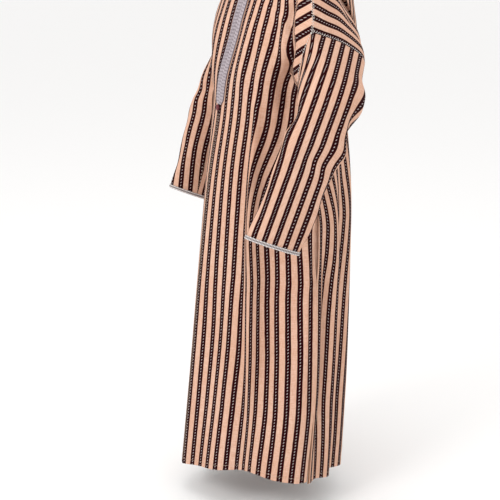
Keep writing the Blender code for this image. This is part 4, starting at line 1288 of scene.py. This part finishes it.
# Creases: share of the half neck and of the line at each end, half width, and height out
HOOD_CREASES = (
    ("a0", "t0", "a1", "t1", "half_width", "out"),
    (0.10, 0.30, 0.42, 0.12, 0.012, -0.0035),
    (0.08, 0.52, 0.50, 0.30, 0.014, 0.0040),
    (0.12, 0.72, 0.55, 0.62, 0.014, -0.0040),
    (0.05, 0.86, 0.70, 0.80, 0.016, 0.0040),
)


def hood_line(neck, place, out):
    """One line of the hood from the neck seam up, over and down the back, then up to the face
    edge. place runs from 0 at the centre back to 1 at the front end, and out is the level way
    off the neck there."""
    hang = (1.0 - ease(place / HOOD_SPREAD))**1.3
    up = np.array([0.0, 0.0, 1.0])
    stand = HOOD_STAND * (1.0 - HOOD_LOW_FRONT * ease((place - 0.5) / 0.5))
    slim = np.array([1.0 - HOOD_SLIM * hang, 1.0, 1.0])
    knots = [neck] + [neck + out * away + up * stand * height for away, height in HOOD_RISE]
    for away, away_hung, fall, lift, low in HOOD_HANG[1:]:
        start = neck * slim if low else neck
        knots.append(start + out * (away + away_hung * hang)
                     + up * (lift - fall * HOOD_FALL * hang))
    knots = np.array(knots)
    lengths = run_lengths(knots)
    at = np.linspace(0.0, lengths[-1], HOOD_STEPS + 1)
    return np.stack([smooth(lengths, knots[:, k], at) for k in range(3)], axis=1)


def clear_of(tree, points, start, end):
    """Move the points of a hood line out until they stand clear of the cloth below, by
    start after the neck and by end at the face edge."""
    count = len(points) - 1
    free = np.array([0.0 if points[0][0] == 0.0 else 1.0, 1.0, 1.0])
    for k in range(1, count + 1):
        wanted = start * ease(8.0 * k / count) + (end - start) * ease((k / count - 0.5) / 0.2)
        for _ in range(8):
            spot, way, _, _ = tree.find_nearest(points[k])
            short = wanted - float((points[k] - np.array(spot)) @ np.array(way))
            if short <= 0.0:
                break
            points[k] += np.array(way) * short * free
    return points


def hood_panel(tree, side, word):
    """Half the hood, lines from the centre back to the front end."""
    back, front = sewn["back", word][:, 0], sewn["front", word][:, 0]
    first = LOWER_ROWS + round(BACK_NECK_T * UPPER_ROWS)
    last = LOWER_ROWS + round(HOOD_END_T * UPPER_ROWS)
    edge = cloth_points[list(back[first:]) + list(front[last:-1][::-1])]
    edge[0, 0] = 0.0
    shares = np.linspace(0.0, 1.0, HOOD_COLUMNS + 1)
    neck = along(edge, shares) + np.array([0.0, 0.0, SEAM_GAP + HOOD_OFF_NECK])
    lines = []
    for share, point in zip(shares, neck):
        out = np.array([point[0], point[1] - HOOD_CENTRE_Y, 0.0])
        line = hood_line(point, share, out / np.linalg.norm(out))
        lines.append(clear_of(tree, line, HOOD_CLEAR, HOOD_CLEAR + HOOD_BAG * (1.0 - share)))
    lines = np.array(lines)
    t = np.linspace(0.0, 1.0, HOOD_STEPS + 1)[None, :]
    lift = crease_lift(HOOD_CREASES, shares[:, None], t, HOOD_WIDE, HOOD_LONG)
    lift *= ease(t / 0.10) * ease((1.0 - t) / 0.06) * ease(shares[:, None] / 0.06)
    climb = np.array([run_lengths(line) for line in lines])
    u = np.zeros(climb.shape)
    u[1:] = np.cumsum(np.linalg.norm(np.diff(lines, axis=0), axis=2), axis=0)
    cut = np.stack([side * (u + STRIPE_START), climb], axis=2)
    return {"points": lines, "lifts": lift, "cut": cut, "flip": side < 0}


cloth_tree = BVHTree.FromPolygons(cloth_points.tolist(), cloth_cells.tolist())
hood = {"hood_" + word: hood_panel(cloth_tree, side, word) for side, word in SIDES}
hood_points, hood_out, _ = sew(list(hood.values()))
for name, grid in hood.items():
    piece = shell("cloth_" + name, [grid], hood_points, hood_out, CLOTH_THICK, stripe_cloth)
    fix(piece, name)


# Floor and light
# A plain pale floor under the hem, and the soft even light of a studio with its main lamp in
# front of the robe, a weak one behind its left side and one over it.

FLOOR_Z = -1.44
FLOOR_HALF = 60
floor_mesh = bpy.data.meshes.new("floor")
floor_mesh.from_pydata([(x * FLOOR_HALF, y * FLOOR_HALF, FLOOR_Z)
                        for x, y in ((-1, -1), (1, -1), (1, 1), (-1, 1))], [], [(0, 1, 2, 3)])
floor = new_object("floor", floor_mesh)
floor_material, floor_tree, floor_shader = new_material("floor_paint", 0.9)
floor_shader.inputs["Base Color"].default_value = linear("F6F5F4")
floor_mesh.materials.append(floor_material)

# name, place, aim, size, watts
for name, place, aim, size, watts in (
        ("key", (1.3, -3.0, 1.6), (0.0, 0.0, -0.5), 1.3, 46.0),
        ("side", (3.4, 1.6, 0.9), (0.0, 0.0, -0.7), 2.4, 10.0),
        ("top", (0.6, -0.6, 3.2), (0.0, 0.0, -0.8), 2.0, 30.0)):
    lamp_data = bpy.data.lights.new(name, "AREA")
    lamp_data.size = size
    lamp_data.energy = watts
    lamp = new_object(name, lamp_data)
    lamp.location = place
    lamp.rotation_euler = (Vector(aim) - Vector(place)).to_track_quat("-Z", "Y").to_euler()

bpy.context.scene.view_settings.view_transform = "Standard"
world = bpy.data.worlds.new("studio")
bpy.context.scene.world = world
world.use_nodes = True
backdrop = world.node_tree.nodes["Background"]
backdrop.inputs["Color"].default_value = (1.0, 1.0, 1.0, 1.0)
backdrop.inputs["Strength"].default_value = 1.0
